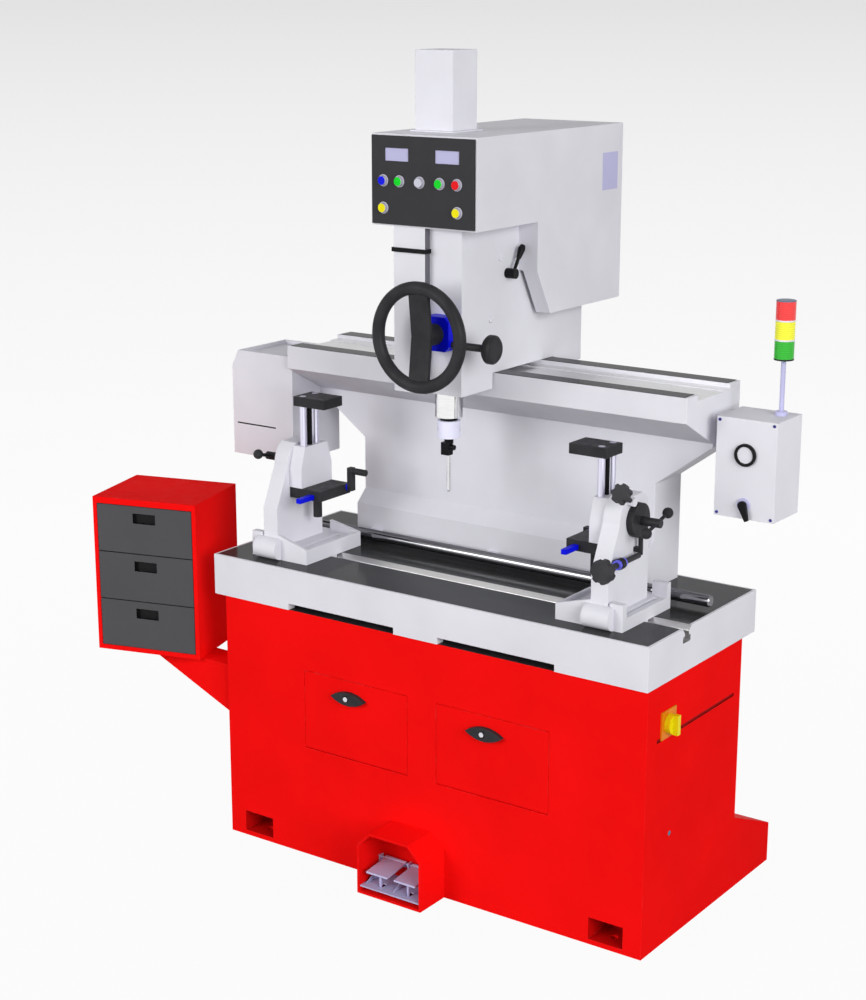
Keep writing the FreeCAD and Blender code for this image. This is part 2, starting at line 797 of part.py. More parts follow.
def flap_door(side):
    """Drop-down flap with a round lower edge and two pins, and its eye-shaped turn latch."""
    middle = door_centres[side]
    across = around(middle, door_width)
    face = (base_front, base_front + door_thickness)
    plate = box(across, face, (door_axis[1], door_bottom + door_height))
    edge = rod("x", door_axis, across, door_thickness)
    pin_span = (across[0] - door_gap - hinge_pin_reach, across[1] + door_gap + hinge_pin_reach)
    pin = rod("x", door_axis, pin_span, hinge_pin_diameter)
    turn_place = middle - latch_offset
    pivot = (turn_place, door_bottom + door_height - latch_drop)
    through = (base_front - cut_over, base_front + door_thickness + cut_over)
    bore = rod("y", pivot, through, latch_pin_diameter + pin_gap * 2)
    keep(f"door_{side}", cut(joined([plate, edge, pin]), [bore]))

    handle_back = base_front - run_gap
    handle = (handle_back - latch_thickness, handle_back)
    eye_radius = (latch_length * latch_length / latch_height + latch_height) / 4
    eye_offset = eye_radius - latch_height / 2
    upper = rod("y", (turn_place, pivot[1] + eye_offset), handle, eye_radius * 2)
    lower = rod("y", (turn_place, pivot[1] - eye_offset), handle, eye_radius * 2)
    cam_front = base_front + base_wall + run_gap
    cam = box((turn_place - cam_width / 2, turn_place + cam_length), (cam_front, cam_front + cam_thickness),
              around(pivot[1], cam_width))
    pin = rod("y", pivot, (handle[1], cam_front), latch_pin_diameter)
    keep(f"latch_{side}", joined([common(upper, lower), pin, cam]))


def table():
    """Slotted table casting, hollow below, and the bar behind the fixtures."""
    length = (-half_table, half_table)
    top = box(length, (front, rear), (base_height, table_height))
    under = box((-half_table + table_wall, half_table - table_wall),
                (front + table_wall, rear - table_wall),
                (base_height - cut_over, table_height - table_top))
    spaces = [under]
    for low in (-notch_inner - notch_length, notch_inner):
        spaces.append(box((low, low + notch_length), (front - cut_over, front + table_wall + cut_over),
                          (base_height - cut_over, base_height + notch_height)))
    middle = front + slot_setback
    lip_low = table_height - slot_lip_depth
    neck_low = table_height - slot_neck_depth
    floor = table_height - slot_depth
    spaces.append(prism("x", [
        (middle - slot_head / 2, floor), (middle + slot_head / 2, floor),
        (middle + slot_head / 2, neck_low), (middle + slot_mouth / 2, neck_low),
        (middle + slot_mouth / 2, lip_low), (middle + slot_lip / 2, table_height),
        (middle + slot_lip / 2, table_height + cut_over), (middle - slot_lip / 2, table_height + cut_over),
        (middle - slot_lip / 2, table_height), (middle - slot_mouth / 2, lip_low),
        (middle - slot_mouth / 2, neck_low), (middle - slot_head / 2, neck_low),
    ], (-half_table - cut_over, half_table + cut_over)))
    bar_centre = (front + bar_setback, table_height + bar_rise)
    keep("table", cut(top, spaces))

    radius = bar_diameter / 2
    keep("locating_bar", turned("x", bar_centre, -bar_length / 2, [
        (0, 0), (radius - bar_chamfer, 0), (radius, bar_chamfer), (radius, bar_length - bar_chamfer),
        (radius - bar_chamfer, bar_length), (0, bar_length),
    ]))


def bridge():
    """Column with its sloped foot and gussets, and the beam that carries the two ways."""
    column = prism("y", [
        (-half_column, table_height), (half_column, table_height), (half_column, gusset_level),
        (half_beam, gusset_level + gusset_rise), (half_beam, beam_under), (-half_beam, beam_under),
        (-half_beam, gusset_level + gusset_rise), (-half_column, gusset_level),
    ], (column_front, column_rear))
    foot_front = front + foot_setback
    foot_top = table_height + foot_height
    foot = prism("x", [
        (foot_front, table_height), (column_front + cut_over, table_height),
        (column_front + cut_over, foot_top + foot_slope), (column_front, foot_top + foot_slope),
        (foot_front, foot_top),
    ], (-half_column, half_column))
    hollow = box((-half_column + column_wall, half_column - column_wall),
                 (column_front + column_wall, column_rear - column_wall),
                 (table_height - cut_over, beam_under - column_wall))
    bar_centre = (front + bar_setback, table_height + bar_rise)
    saddle_reach = half_column - saddle_inset
    saddles = [box(around(place_x, saddle_width), (bar_centre[0], foot_front + cut_over),
                   around(bar_centre[1], saddle_height))
               for place_x in (-saddle_reach, dim(0), saddle_reach)]
    bar_room = rod("x", bar_centre, (-half_column - cut_over, half_column + cut_over),
                   bar_diameter + pin_gap * 2)
    keep("column", cut(joined([column, foot] + saddles), [hollow, bar_room]))

    ends = (-half_beam, half_beam)
    beam = prism("x", [
        (beam_front, beam_top - beam_band), (beam_front, beam_top), (column_rear, beam_top),
        (column_rear, beam_under), (column_front, beam_under),
    ], ends)
    way_ends = (-half_beam + way_short, half_beam - way_short)
    front_way = (beam_front + way_margin, beam_front + way_margin + way_width)
    rear_way = (column_rear - way_margin - way_width, column_rear - way_margin)
    channel_front = front_way[1] + way_margin
    channel_rear = rear_way[0] - way_margin
    channel_floor = beam_top - channel_depth
    shelf_front = channel_rear - channel_shelf
    shelf_top = channel_floor + shelf_rise
    channel = prism("x", [
        (channel_front, beam_top + cut_over), (channel_front, channel_floor),
        (shelf_front, channel_floor), (shelf_front, shelf_top),
        (channel_rear, shelf_top), (channel_rear, beam_top + cut_over),
    ], (-half_beam - cut_over, half_beam + cut_over))
    seats = [box(way_ends, across, (beam_top - way_sink, beam_top + cut_over))
             for across in (front_way, rear_way)]
    keep("beam", cut(beam, [channel] + seats))
    ways = [box(way_ends, across, (beam_top - way_sink, way_top)) for across in (front_way, rear_way)]
    keep("guide_ways", grouped(ways))


def service_box():
    """Sheet-metal box at the bridge's left end, with a sunk top and a slit in its front."""
    right = -half_beam
    left = right - service_width
    top = service_level + service_height
    depth = (front + service_setback, front + service_setback + service_depth)
    outside = prism("y", [
        (left, service_level), (right, service_level), (right, top), (left + service_corner_width, top),
        (left, top - service_corner_height),
    ], depth)
    tray = box((left + service_corner_width + service_rim, right - service_rim),
               (depth[0] + service_rim, depth[1] - service_rim), (top - service_sink, top + cut_over))
    roof = top - service_sink - service_wall
    hollow = prism("y", [
        (left + service_wall, service_level - cut_over), (right - service_wall, service_level - cut_over),
        (right - service_wall, roof), (left + service_corner_width + service_wall, roof),
        (left + service_wall, roof - service_corner_height),
    ], (depth[0] + service_wall, depth[1] - service_wall))
    slit_left = left + slit_inset
    slit_low = service_level + slit_rise
    slit = box((slit_left, slit_left + slit_length), (depth[0] - cut_over, depth[0] + service_wall / 2),
               (slit_low, slit_low + slit_height))
    keep("service_box", cut(outside, [tray, hollow, slit]))


def control_box():
    """Electrical box on an arm, with a lid, a gauge, a selector and a signal tower."""
    left = half_beam + control_gap
    width = (left, left + control_width)
    lid_front = front + control_setback
    lid_back = lid_front + control_lid
    depth = (lid_back, lid_back + control_depth)
    height = (control_level, control_level + control_height)
    case = box(width, depth, height)
    hollow = box((width[0] + control_wall, width[1] - control_wall),
                 (depth[0] - cut_over, depth[1] - control_wall),
                 (height[0] + control_wall, height[1] - control_wall))
    arm_top = beam_top - arm_drop
    arm = box((half_beam, left), (front + arm_setback, front + arm_setback + arm_depth),
              (arm_top - arm_height, arm_top))
    middle = left + control_width / 2
    selector = (middle, control_level + selector_rise)
    bore = selector_shaft_diameter + pin_gap * 2
    base_face = lid_front - selector_base_thickness
    lid = box(width, (lid_front, lid_back), height)
    lid = cut(lid, [rod("y", selector, (lid_front - cut_over, lid_back + cut_over), bore)])
    selector_base = rod("y", selector, (base_face, lid_front), selector_base_diameter)
    selector_bore = rod("y", selector, (base_face - cut_over, lid_front + cut_over), bore)
    selector_base = cut(selector_base, [selector_bore])
    gauge = turned("y", (middle, control_level + gauge_rise), lid_front - gauge_proud, [
        (0, gauge_sink), (gauge_glass_diameter / 2, gauge_sink), (gauge_glass_diameter / 2, 0),
        (gauge_diameter / 2, 0), (gauge_diameter / 2, gauge_proud), (0, gauge_proud),
    ])
    keep("control_box", grouped([joined([cut(case, [hollow]), arm]), lid, selector_base, gauge]))

    hub_back = base_face - run_gap
    hub = (hub_back - selector_hub_thickness, hub_back)
    lean = sine(selector_lean)
    fall = cosine(selector_lean)
    tip = (selector[0] + selector_length * lean, selector[1] - selector_length * fall)
    side = (selector_hub_diameter / 2 * fall, selector_hub_diameter / 2 * lean)
    point = (selector_tip / 2 * fall, selector_tip / 2 * lean)
    pointer = prism("y", [
        (selector[0] - side[0], selector[1] - side[1]), (tip[0] - point[0], tip[1] - point[1]),
        (tip[0] + point[0], tip[1] + point[1]), (selector[0] + side[0], selector[1] + side[1]),
    ], hub)
    boss = rod("y", selector, hub, selector_hub_diameter)
    shaft = rod("y", selector, (hub[1], lid_back + control_wall), selector_shaft_diameter)
    keep("selector_lever", joined([pointer, boss, shaft]))

    tower = (left + tower_offset, front + tower_setback)
    foot_top = height[1] + tower_foot_height
    foot = rod("z", tower, (height[1], foot_top), tower_foot_diameter)
    pole = rod("z", tower, (foot_top, tower_lens_level), tower_pole_diameter)
    lenses = [rod("z", tower, (tower_lens_level + tower_lens_height * step,
                               tower_lens_level + tower_lens_height * (step + 1)), tower_lens_diameter)
              for step in range(3)]
    keep("signal_tower", grouped([joined([foot, pole])] + lenses))


def drawer_cabinet():
    """Drawer cabinet that swivels on its bracket; it is modelled about its pivot, then turned."""
    pivot = (cabinet_place, front + cabinet_setback)
    knee = cabinet_place + bracket_width / 2
    tip = cabinet_place - bracket_over
    bracket_low = bracket_top - bracket_tip
    wedge = prism("y", [
        (base_left, bracket_top - bracket_root), (base_left, bracket_top), (tip, bracket_top),
        (tip, bracket_low), (knee - bracket_flat / 2, bracket_low),
    ], (front + bracket_setback, front + bracket_setback + bracket_width))
    hole = rod("z", pivot, (bracket_low - cut_over, bracket_top + cut_over), pivot_diameter + pin_gap * 2)
    keep("cabinet_bracket", cut(wedge, [hole]))

    half_width = cabinet_width / 2
    half_depth = cabinet_depth / 2
    bottom = bracket_top + run_gap
    top = bottom + cabinet_height
    inside = (-half_width + cabinet_side, half_width - cabinet_side)
    floor = bottom + cabinet_floor
    pitch = (top - cabinet_roof - floor) / 3
    case = box((-half_width, half_width), (-half_depth, half_depth), (bottom, top))
    inner_back = half_depth - cabinet_side
    hollow = box(inside, (-half_depth - cut_over, inner_back), (floor, top - cabinet_roof))
    runner_front = -half_depth + drawer_front + run_gap
    runners = []
    for step in range(3):
        height = (floor + pitch * step, floor + pitch * step + runner_thickness)
        for across in ((inside[0], inside[0] + runner_width), (inside[1] - runner_width, inside[1])):
            runners.append(box(across, (runner_front, inner_back), height))
    pin = rod("z", (0, 0), (bottom - pivot_length, bottom), pivot_diameter)
    carcass = joined([cut(case, [hollow]), pin] + runners)
    turn_on(keep("tool_cabinet", grouped([carcass])), pivot)

    for step, name in enumerate(("bottom", "middle", "top")):
        low = floor + pitch * step
        face_top = low + pitch - drawer_gap
        face_back = -half_depth + drawer_front
        face = box((inside[0] + drawer_gap, inside[1] - drawer_gap), (-half_depth, face_back),
                   (low + drawer_gap, face_top))
        pull = box(around(dim(0), pull_width), (-half_depth - cut_over, -half_depth + pull_sink),
                   (face_top - pull_drop - pull_height, face_top - pull_drop))
        tray_low = low + runner_thickness + run_gap
        tray = (tray_low, tray_low + drawer_box_height)
        across = (inside[0] + drawer_gap, inside[1] - drawer_gap)
        depth = (face_back, inner_back - drawer_back_gap)
        bin_outside = box(across, depth, tray)
        bin_inside = box((across[0] + drawer_wall, across[1] - drawer_wall),
                         (depth[0], depth[1] - drawer_wall), (tray[0] + drawer_wall, tray[1] + cut_over))
        drawer = joined([cut(face, [pull]), cut(bin_outside, [bin_inside])])
        turn_on(keep(f"drawer_{name}", grouped([drawer])), pivot)


def turn_on(node, pivot):
    """Put a piece of the drawer cabinet on its pivot, at the angle it stands at."""
    bind(node, "Placement.Rotation.Angle", cabinet_turn)
    bind(node, "Placement.Base.x", pivot[0])
    bind(node, "Placement.Base.y", pivot[1])


def foot_pedals():
    """Hood on the base's front, with a tray that carries two pedals on one shaft."""
    outside = around(hood_centre, hood_width)
    depth = (base_front - hood_reach, base_front)
    bend = hood_wall * math.tan(math.radians(22.5))
    shell = prism("y", [
        (outside[0], 0), (outside[1], 0), (outside[1], hood_height - hood_chamfer),
        (outside[1] - hood_chamfer, hood_height), (outside[0] + hood_chamfer, hood_height),
        (outside[0], hood_height - hood_chamfer),
    ], depth)
    inside = (outside[0] + hood_wall, outside[1] - hood_wall)
    side_top = hood_height - hood_chamfer - bend
    roof_side = hood_chamfer + bend
    hollow = prism("y", [
        (inside[0], hood_wall), (inside[1], hood_wall), (inside[1], side_top),
        (outside[1] - roof_side, hood_height - hood_wall),
        (outside[0] + roof_side, hood_height - hood_wall),
        (inside[0], side_top),
    ], (depth[0] - cut_over, depth[1] + cut_over))
    hood = cut(shell, [hollow])

    tray_top = tray_level + tray_thickness
    tray_depth = (depth[0] + tray_margin, depth[1] - run_gap)
    plate = box(inside, tray_depth, (tray_level, tray_top))
    axis = (base_front - pedal_axis_setback, pedal_front_level + pedal_rise)
    shaft = rod("x", axis, inside, pedal_shaft_diameter)
    pedal_spans = [
        (hood_centre - pedal_space / 2 - pedal_width, hood_centre - pedal_space / 2),
        (hood_centre + pedal_space / 2, hood_centre + pedal_space / 2 + pedal_width),
    ]
    ear_top = axis[1] + pedal_barrel_diameter / 2
    ears = [box(across, around(axis[0], pedal_barrel_diameter), (tray_level, ear_top)) for across in (
        (inside[0], inside[0] + ear_thickness), around(hood_centre, ear_thickness),
        (inside[1] - ear_thickness, inside[1]),
    )]
    pedal_front = axis[0] - pedal_depth
    post_place = pedal_front + pedal_post_setback
    slots = [box(around((span[0] + span[1]) / 2, post_slot_width),
                 (post_place - post_slot_width / 2, post_place - post_slot_width / 2 + post_slot_length),
                 (tray_level - cut_over, tray_top + cut_over)) for span in pedal_spans]
    tray = joined([cut(plate, slots), shaft] + ears)
    keep("pedal_hood", grouped([hood, tray]))

    for side, span in zip(("left", "right"), pedal_spans):
        plate = prism("x", [
            (pedal_front, pedal_front_level), (axis[0], axis[1]), (axis[0], axis[1] + pedal_thickness),
            (pedal_front, pedal_front_level + pedal_thickness),
        ], span)
        barrel = rod("x", axis, span, pedal_barrel_diameter)
        post_centre = ((span[0] + span[1]) / 2, post_place)
        post = rod("z", post_centre, (tray_level, pedal_front_level + pedal_thickness), pedal_post_diameter)
        bore_span = (span[0] - cut_over, span[1] + cut_over)
        bore = rod("x", axis, bore_span, pedal_shaft_diameter + pin_gap * 2)
        keep(f"pedal_{side}", cut(joined([plate, barrel, post]), [bore]))


# Head places that the feed, the spindle and the cover share
spindle = (spindle_place, front + spindle_setback)
head_left = spindle_place - head_width / 2
head_right = spindle_place + head_width / 2
head_front = front + head_setback
head_rear = column_rear + head_rear_gap + head_rear_depth
feed_place = spindle_place + rack_offset + pinion_diameter / 2
feed = (feed_place, feed_level)
pinion_span = around(spindle[1], pinion_length)
cover_front = front + cover_setback
cover_rear = cover_front + cover_length
cover_side = around(cover_place, cover_width)
cover_top = head_top + cover_height
panel_front = cover_front - panel_thickness
quill_top = quill_level + quill_length
buttons = {
    "blue": (blue_place, button_row),
    "green_left": (green_left_place, button_row),
    "grey": (grey_place, button_row),
    "green_right": (green_right_place, button_row),
    "red": (red_place, button_row),
    "yellow_left": (yellow_left_place, button_low_row),
    "yellow_right": (yellow_right_place, button_low_row),
}
lever_axis = (front + lever_setback, lever_level)


def head_casting():
    """Casting that straddles the beam, with the quill bore, the feed bore and the post in front."""
    across = (head_left, head_right)
    under = way_top + run_gap
    body = prism("x", [
        (head_front, head_nose_level), (head_front + head_front_depth, head_nose_level),
        (head_front + head_front_depth, under), (column_rear + head_rear_gap, under),
        (column_rear + head_rear_gap, head_tail_level), (head_rear, head_tail_level),
        (head_rear, head_top), (head_front, head_top),
    ], across)
    post = box((head_left, spindle_place), (head_front - post_proud, head_front),
               (head_nose_level, head_top))
    hollow_front = spindle[1] + quill_diameter / 2 + head_wall * 2
    hollow = box((head_left + head_wall, head_right - head_wall), (hollow_front, head_rear - head_wall),
                 (under + head_floor, head_top + cut_over))
    quill_bore = rod("z", spindle, (head_nose_level - cut_over, quill_top + run_gap * 10),
                     quill_diameter + pin_gap * 2)
    passage = rod("z", spindle, (quill_top, head_top + cut_over), spindle_diameter + run_gap * 4)
    shaft_bore = rod("y", feed, (head_front - cut_over, pinion_span[1] + head_wall + run_gap),
                     feed_shaft_diameter + pin_gap * 2)
    pinion_room = rod("y", feed, (pinion_span[0] - run_gap, pinion_span[1] + run_gap),
                      pinion_diameter + run_gap * 4)
    lever_bore = rod("x", lever_axis, (head_right - lever_pin_length - run_gap, head_right + cut_over),
                     lever_pin_diameter + pin_gap * 2)
    keep("head_casting", cut(joined([body, post]), [
        hollow, quill_bore, passage, shaft_bore, pinion_room, lever_bore,
    ]))


def head_cover():
    """Sheet cover over the head, with a skirt at the rear, a dark front panel and its buttons."""
    skirt_front = front + skirt_setback
    skirt_low = head_top - skirt_height
    outside = prism("x", [
        (cover_front, head_top), (skirt_front, head_top), (skirt_front, head_top - skirt_drop),
        (skirt_front + skirt_slant, skirt_low), (cover_rear, skirt_low), (cover_rear, cover_top),
        (cover_front, cover_top),
    ], cover_side)
    inside = (cover_side[0] + cover_wall, cover_side[1] - cover_wall)
    floor = head_top + cover_wall
    upper = box(inside, (cover_front + cover_wall, cover_rear - cover_wall),
                (floor, cover_top - cover_wall))
    inner_front = skirt_front + cover_wall
    lower = prism("x", [
        (inner_front, head_top), (inner_front, head_top - skirt_drop),
        (inner_front + skirt_slant, skirt_low), (inner_front + skirt_slant, skirt_low - cut_over),
        (cover_rear - cover_wall, skirt_low - cut_over), (cover_rear - cover_wall, head_top),
    ], inside)
    casting_room = box((head_left - run_gap, head_right + run_gap),
                       (skirt_front - cut_over, head_rear + cut_over), (skirt_low - cut_over, head_top))
    skirt_slots = box((head_left - skirt_gap, head_right + skirt_gap),
                      (skirt_front - cut_over, inner_front + skirt_slant + cut_over),
                      (skirt_low - cut_over, head_top - skirt_drop))
    passage = rod("z", spindle, (head_top - cut_over, floor + cut_over), spindle_diameter + run_gap * 4)
    mast_inside = (around(mast_place, mast_width - mast_flange * 2),
                   (front + mast_setback + mast_flange, front + mast_setback + mast_depth - mast_flange))
    mast_hole = box(mast_inside[0], mast_inside[1],
                    (cover_top - cover_wall - cut_over, cover_top + cut_over))
    wall_span = (panel_front - cut_over, cover_front + cover_wall + cut_over)
    stem_bore = button_stem_diameter + run_gap * 2
    stem_holes = [rod("y", place_xz, wall_span, stem_bore) for place_xz in buttons.values()]
    spaces = [upper, lower, casting_room, skirt_slots, passage, mast_hole] + stem_holes
    keep("head_cover", cut(outside, spaces))

    plate = box((cover_side[0] + panel_margin, cover_side[1] - panel_margin), (panel_front, cover_front),
                (head_top + panel_margin, cover_top - panel_margin))
    windows = [box(around(middle, window_width), (panel_front - cut_over, panel_front + window_sink),
                   around(window_level, window_height)) for middle in (window_left, window_right)]
    holes = [rod("y", place_xz, wall_span, button_diameter + run_gap * 2) for place_xz in buttons.values()]
    keep("control_panel", cut(plate, windows + holes))
    for name, place_xz in buttons.items():
        cap_front = panel_front - button_proud
        cap_back = cover_front - button_travel - run_gap
        cap = rod("y", place_xz, (cap_front, cap_back), button_diameter)
        stem = rod("y", place_xz, (cap_back, cap_back + button_stem_length), button_stem_diameter)
        keep(f"button_{name}", joined([cap, stem]))

    depth = (front + mast_setback, front + mast_setback + mast_depth)
    across = around(mast_place, mast_width)
    tube = box(across, depth, (cover_top, cover_top + mast_height))
    flange = box((across[0] - mast_flange, across[1] + mast_flange),
                 (depth[0] - mast_flange, depth[1] + mast_flange),
                 (cover_top, cover_top + mast_flange_thickness))
    hollow = box((across[0] + mast_wall, across[1] - mast_wall),
                 (depth[0] + mast_wall, depth[1] - mast_wall),
                 (cover_top - cut_over, cover_top + mast_height - mast_wall))
    keep("mast_cover", cut(joined([tube, flange]), [hollow]))


def spindle_drive():
    """Quill with its rack flat, the spindle and tool in it, and the motor and sleeve that turn it."""
    bore = spindle_diameter + pin_gap * 2
    quill = rod("z", spindle, (quill_level, quill_top), quill_diameter)
    radius = quill_diameter / 2
    flat_low = feed_level - pinion_diameter / 2 - rack_margin
    flat = box((spindle_place + rack_offset - run_gap, spindle_place + radius + cut_over),
               (spindle[1] - radius - cut_over, spindle[1] + radius + cut_over),
               (flat_low, quill_top + cut_over))
    through = rod("z", spindle, (quill_level - cut_over, quill_top + cut_over), bore)
    keep("quill", cut(quill, [flat, through]))

    nose_low = quill_level - run_gap - neck_height - collar_height
    neck_low = collar_height
    neck_high = collar_height + neck_height
    height = spindle_top - nose_low
    keep("spindle", turned("z", spindle, nose_low, [
        (socket_diameter / 2, 0), (collar_diameter / 2, 0), (collar_diameter / 2, neck_low),
        (neck_diameter / 2, neck_low), (neck_diameter / 2, neck_high), (spindle_diameter / 2, neck_high),
        (spindle_diameter / 2, height), (0, height), (0, socket_depth), (socket_diameter / 2, socket_depth),
    ]))
    holder_low = nose_low - holder_height
    shank = rod("z", spindle, (nose_low, nose_low + socket_depth), socket_diameter)
    block_top = holder_low + bit_block_height
    holder = rod("z", spindle, (block_top - cut_over, nose_low), holder_diameter)
    bit_block = box((spindle_place - bit_block_reach, spindle_place + bit_block_back),
                    around(spindle[1], bit_block_depth), (holder_low, block_top))
    bit_screw = rod("x", (spindle[1], holder_low + bit_screw_rise),
                    (spindle_place, spindle_place + bit_screw_reach), bit_screw_diameter)
    pilot_low = holder_low - pilot_length
    pilot = turned("z", spindle, pilot_low, [
        (0, 0), (pilot_diameter / 4, 0), (pilot_diameter / 2, pilot_tip),
        (pilot_diameter / 2, pilot_length), (0, pilot_length),
    ])
    keep("cutter_holder", grouped([joined([shank, holder, bit_block, bit_screw]), pilot]))

    floor = head_top + cover_wall
    sleeve_low = floor + motor_floor + run_gap
    sleeve = rod("z", spindle, (sleeve_low, sleeve_low + sleeve_height), sleeve_diameter)
    sleeve_bore = rod("z", spindle, (sleeve_low - cut_over, sleeve_low + sleeve_height + cut_over), bore)
    keep("drive_sleeve", cut(sleeve, [sleeve_bore]))
    motor_side = (around(spindle[0], motor_width), around(spindle[1], motor_width))
    case = prism("z", chamfered(motor_side[0], motor_side[1], motor_width / 6),
                 (floor, floor + motor_height))
    room = rod("z", spindle, (floor + motor_floor, floor + motor_height + cut_over),
               sleeve_diameter + run_gap * 2)
    passage = rod("z", spindle, (floor - cut_over, floor + motor_floor + cut_over),
                  spindle_diameter + run_gap * 4)
    keep("spindle_motor", cut(case, [room, passage]))


def hand_feed():
    """Handwheel with its shaft and pinion, the gearbox it passes through and the fine-feed knob."""
    wheel_place = front + wheel_setback
    gearbox_front = head_front - gearbox_depth
    ring_radius = (wheel_diameter - rim_diameter) / 2
    rim = doc.addObject("Part::Torus", "rim")
    rim.Placement.Rotation = AXIS_TURN["y"]
    bind(rim, "Radius1", ring_radius)
    bind(rim, "Radius2", rim_diameter / 2)
    place(rim, (feed_place, wheel_place, feed_level))
    spoke_front = wheel_place - spoke_thickness / 2
    spoke_back = wheel_place + spoke_thickness / 2
    spoke = prism("x", [
        (spoke_front, feed_level - ring_radius), (spoke_back, feed_level - ring_radius),
        (spoke_back + spoke_dish, feed_level), (spoke_back, feed_level + ring_radius),
        (spoke_front, feed_level + ring_radius), (spoke_front + spoke_dish, feed_level),
    ], around(feed_place, spoke_width))
    hub = rod("y", feed, (spoke_front + spoke_dish, gearbox_front - run_gap), hub_diameter)
    shaft = rod("y", feed, (gearbox_front - run_gap, pinion_span[1] + head_wall), feed_shaft_diameter)
    pinion = rod("y", feed, pinion_span, pinion_diameter)
    keep("handwheel", joined([rim, spoke, hub, shaft, pinion]))

    across = around(feed_place, gearbox_width)
    case = prism("y", chamfered(across, around(feed_level, gearbox_height), gearbox_chamfer),
                 (gearbox_front, head_front))
    feed_hole = rod("y", feed, (gearbox_front - cut_over, head_front + cut_over),
                    feed_shaft_diameter + pin_gap * 2)
    fine = (front + fine_setback, feed_level - fine_drop)
    fine_hole = rod("x", fine, (across[1] - fine_shaft_seat - run_gap, across[1] + cut_over),
                    fine_shaft_diameter + pin_gap * 2)
    keep("feed_gearbox", cut(case, [feed_hole, fine_hole]))
    knob_start = across[1] + fine_shaft_reach
    shaft = rod("x", fine, (across[1] - fine_shaft_seat, knob_start), fine_shaft_diameter)
    radius = fine_knob_diameter / 2
    knob = turned("x", fine, knob_start, [
        (0, 0), (radius - fine_knob_round, 0), (radius, fine_knob_round),
        (radius, fine_knob_thickness - fine_knob_round), (radius - fine_knob_round, fine_knob_thickness),
        (0, fine_knob_thickness),
    ])
    keep("fine_feed_knob", joined([shaft, knob]))


def head_controls():
    """Lock lever on the head's right side, and the depth stop that slides on the post."""
    hub_start = head_right + run_gap
    hub_end = hub_start + lever_hub_length
    hub = rod("x", lever_axis, (hub_start, hub_end), lever_hub_diameter)
    pin = rod("x", lever_axis, (head_right - lever_pin_length, hub_start), lever_pin_diameter)
    stick = rod("z", (0, 0), (0, lever_rod_length), lever_rod_diameter)
    grip = turned("z", (0, 0), lever_rod_length, [
        (0, 0), (lever_grip_diameter / 3, 0), (lever_grip_diameter / 2, lever_grip_length * 0.7),
        (lever_grip_diameter / 3, lever_grip_length), (0, lever_grip_length),
    ])
    handle_root = (hub_end - lever_rod_diameter, lever_axis[0], lever_axis[1])
    handle = tilted([stick, grip], handle_root, lever_turn)
    keep("lock_lever", joined([hub, pin, handle]))

    height = (stop_level, stop_level + stop_height)
    inside = (head_left - run_gap, spindle_place + run_gap)
    post_front = head_front - post_proud - run_gap
    band = box((inside[0] - stop_wall, inside[1] + stop_wall),
               (post_front - stop_wall, head_front - run_gap), height)
    room = box(inside, (post_front, head_front + cut_over), (height[0] - cut_over, height[1] + cut_over))
    keep("depth_stop", cut(band, [room]))


def star(start, diameter):
    """Seven-lobed knob on the Z axis."""
    disc = rod("z", (0, 0), (start, start + star_thickness), diameter)
    scallops = []
    for step in range(STAR_LOBES):
        turn = 2 * math.pi * step / STAR_LOBES
        reach = diameter * STAR_SCALLOP_REACH
        centre = (reach * math.cos(turn), reach * math.sin(turn))
        scallops.append(rod("z", centre, (start - cut_over, start + star_thickness + cut_over),
                            star_scallop_diameter))
    return cut(disc, scallops)


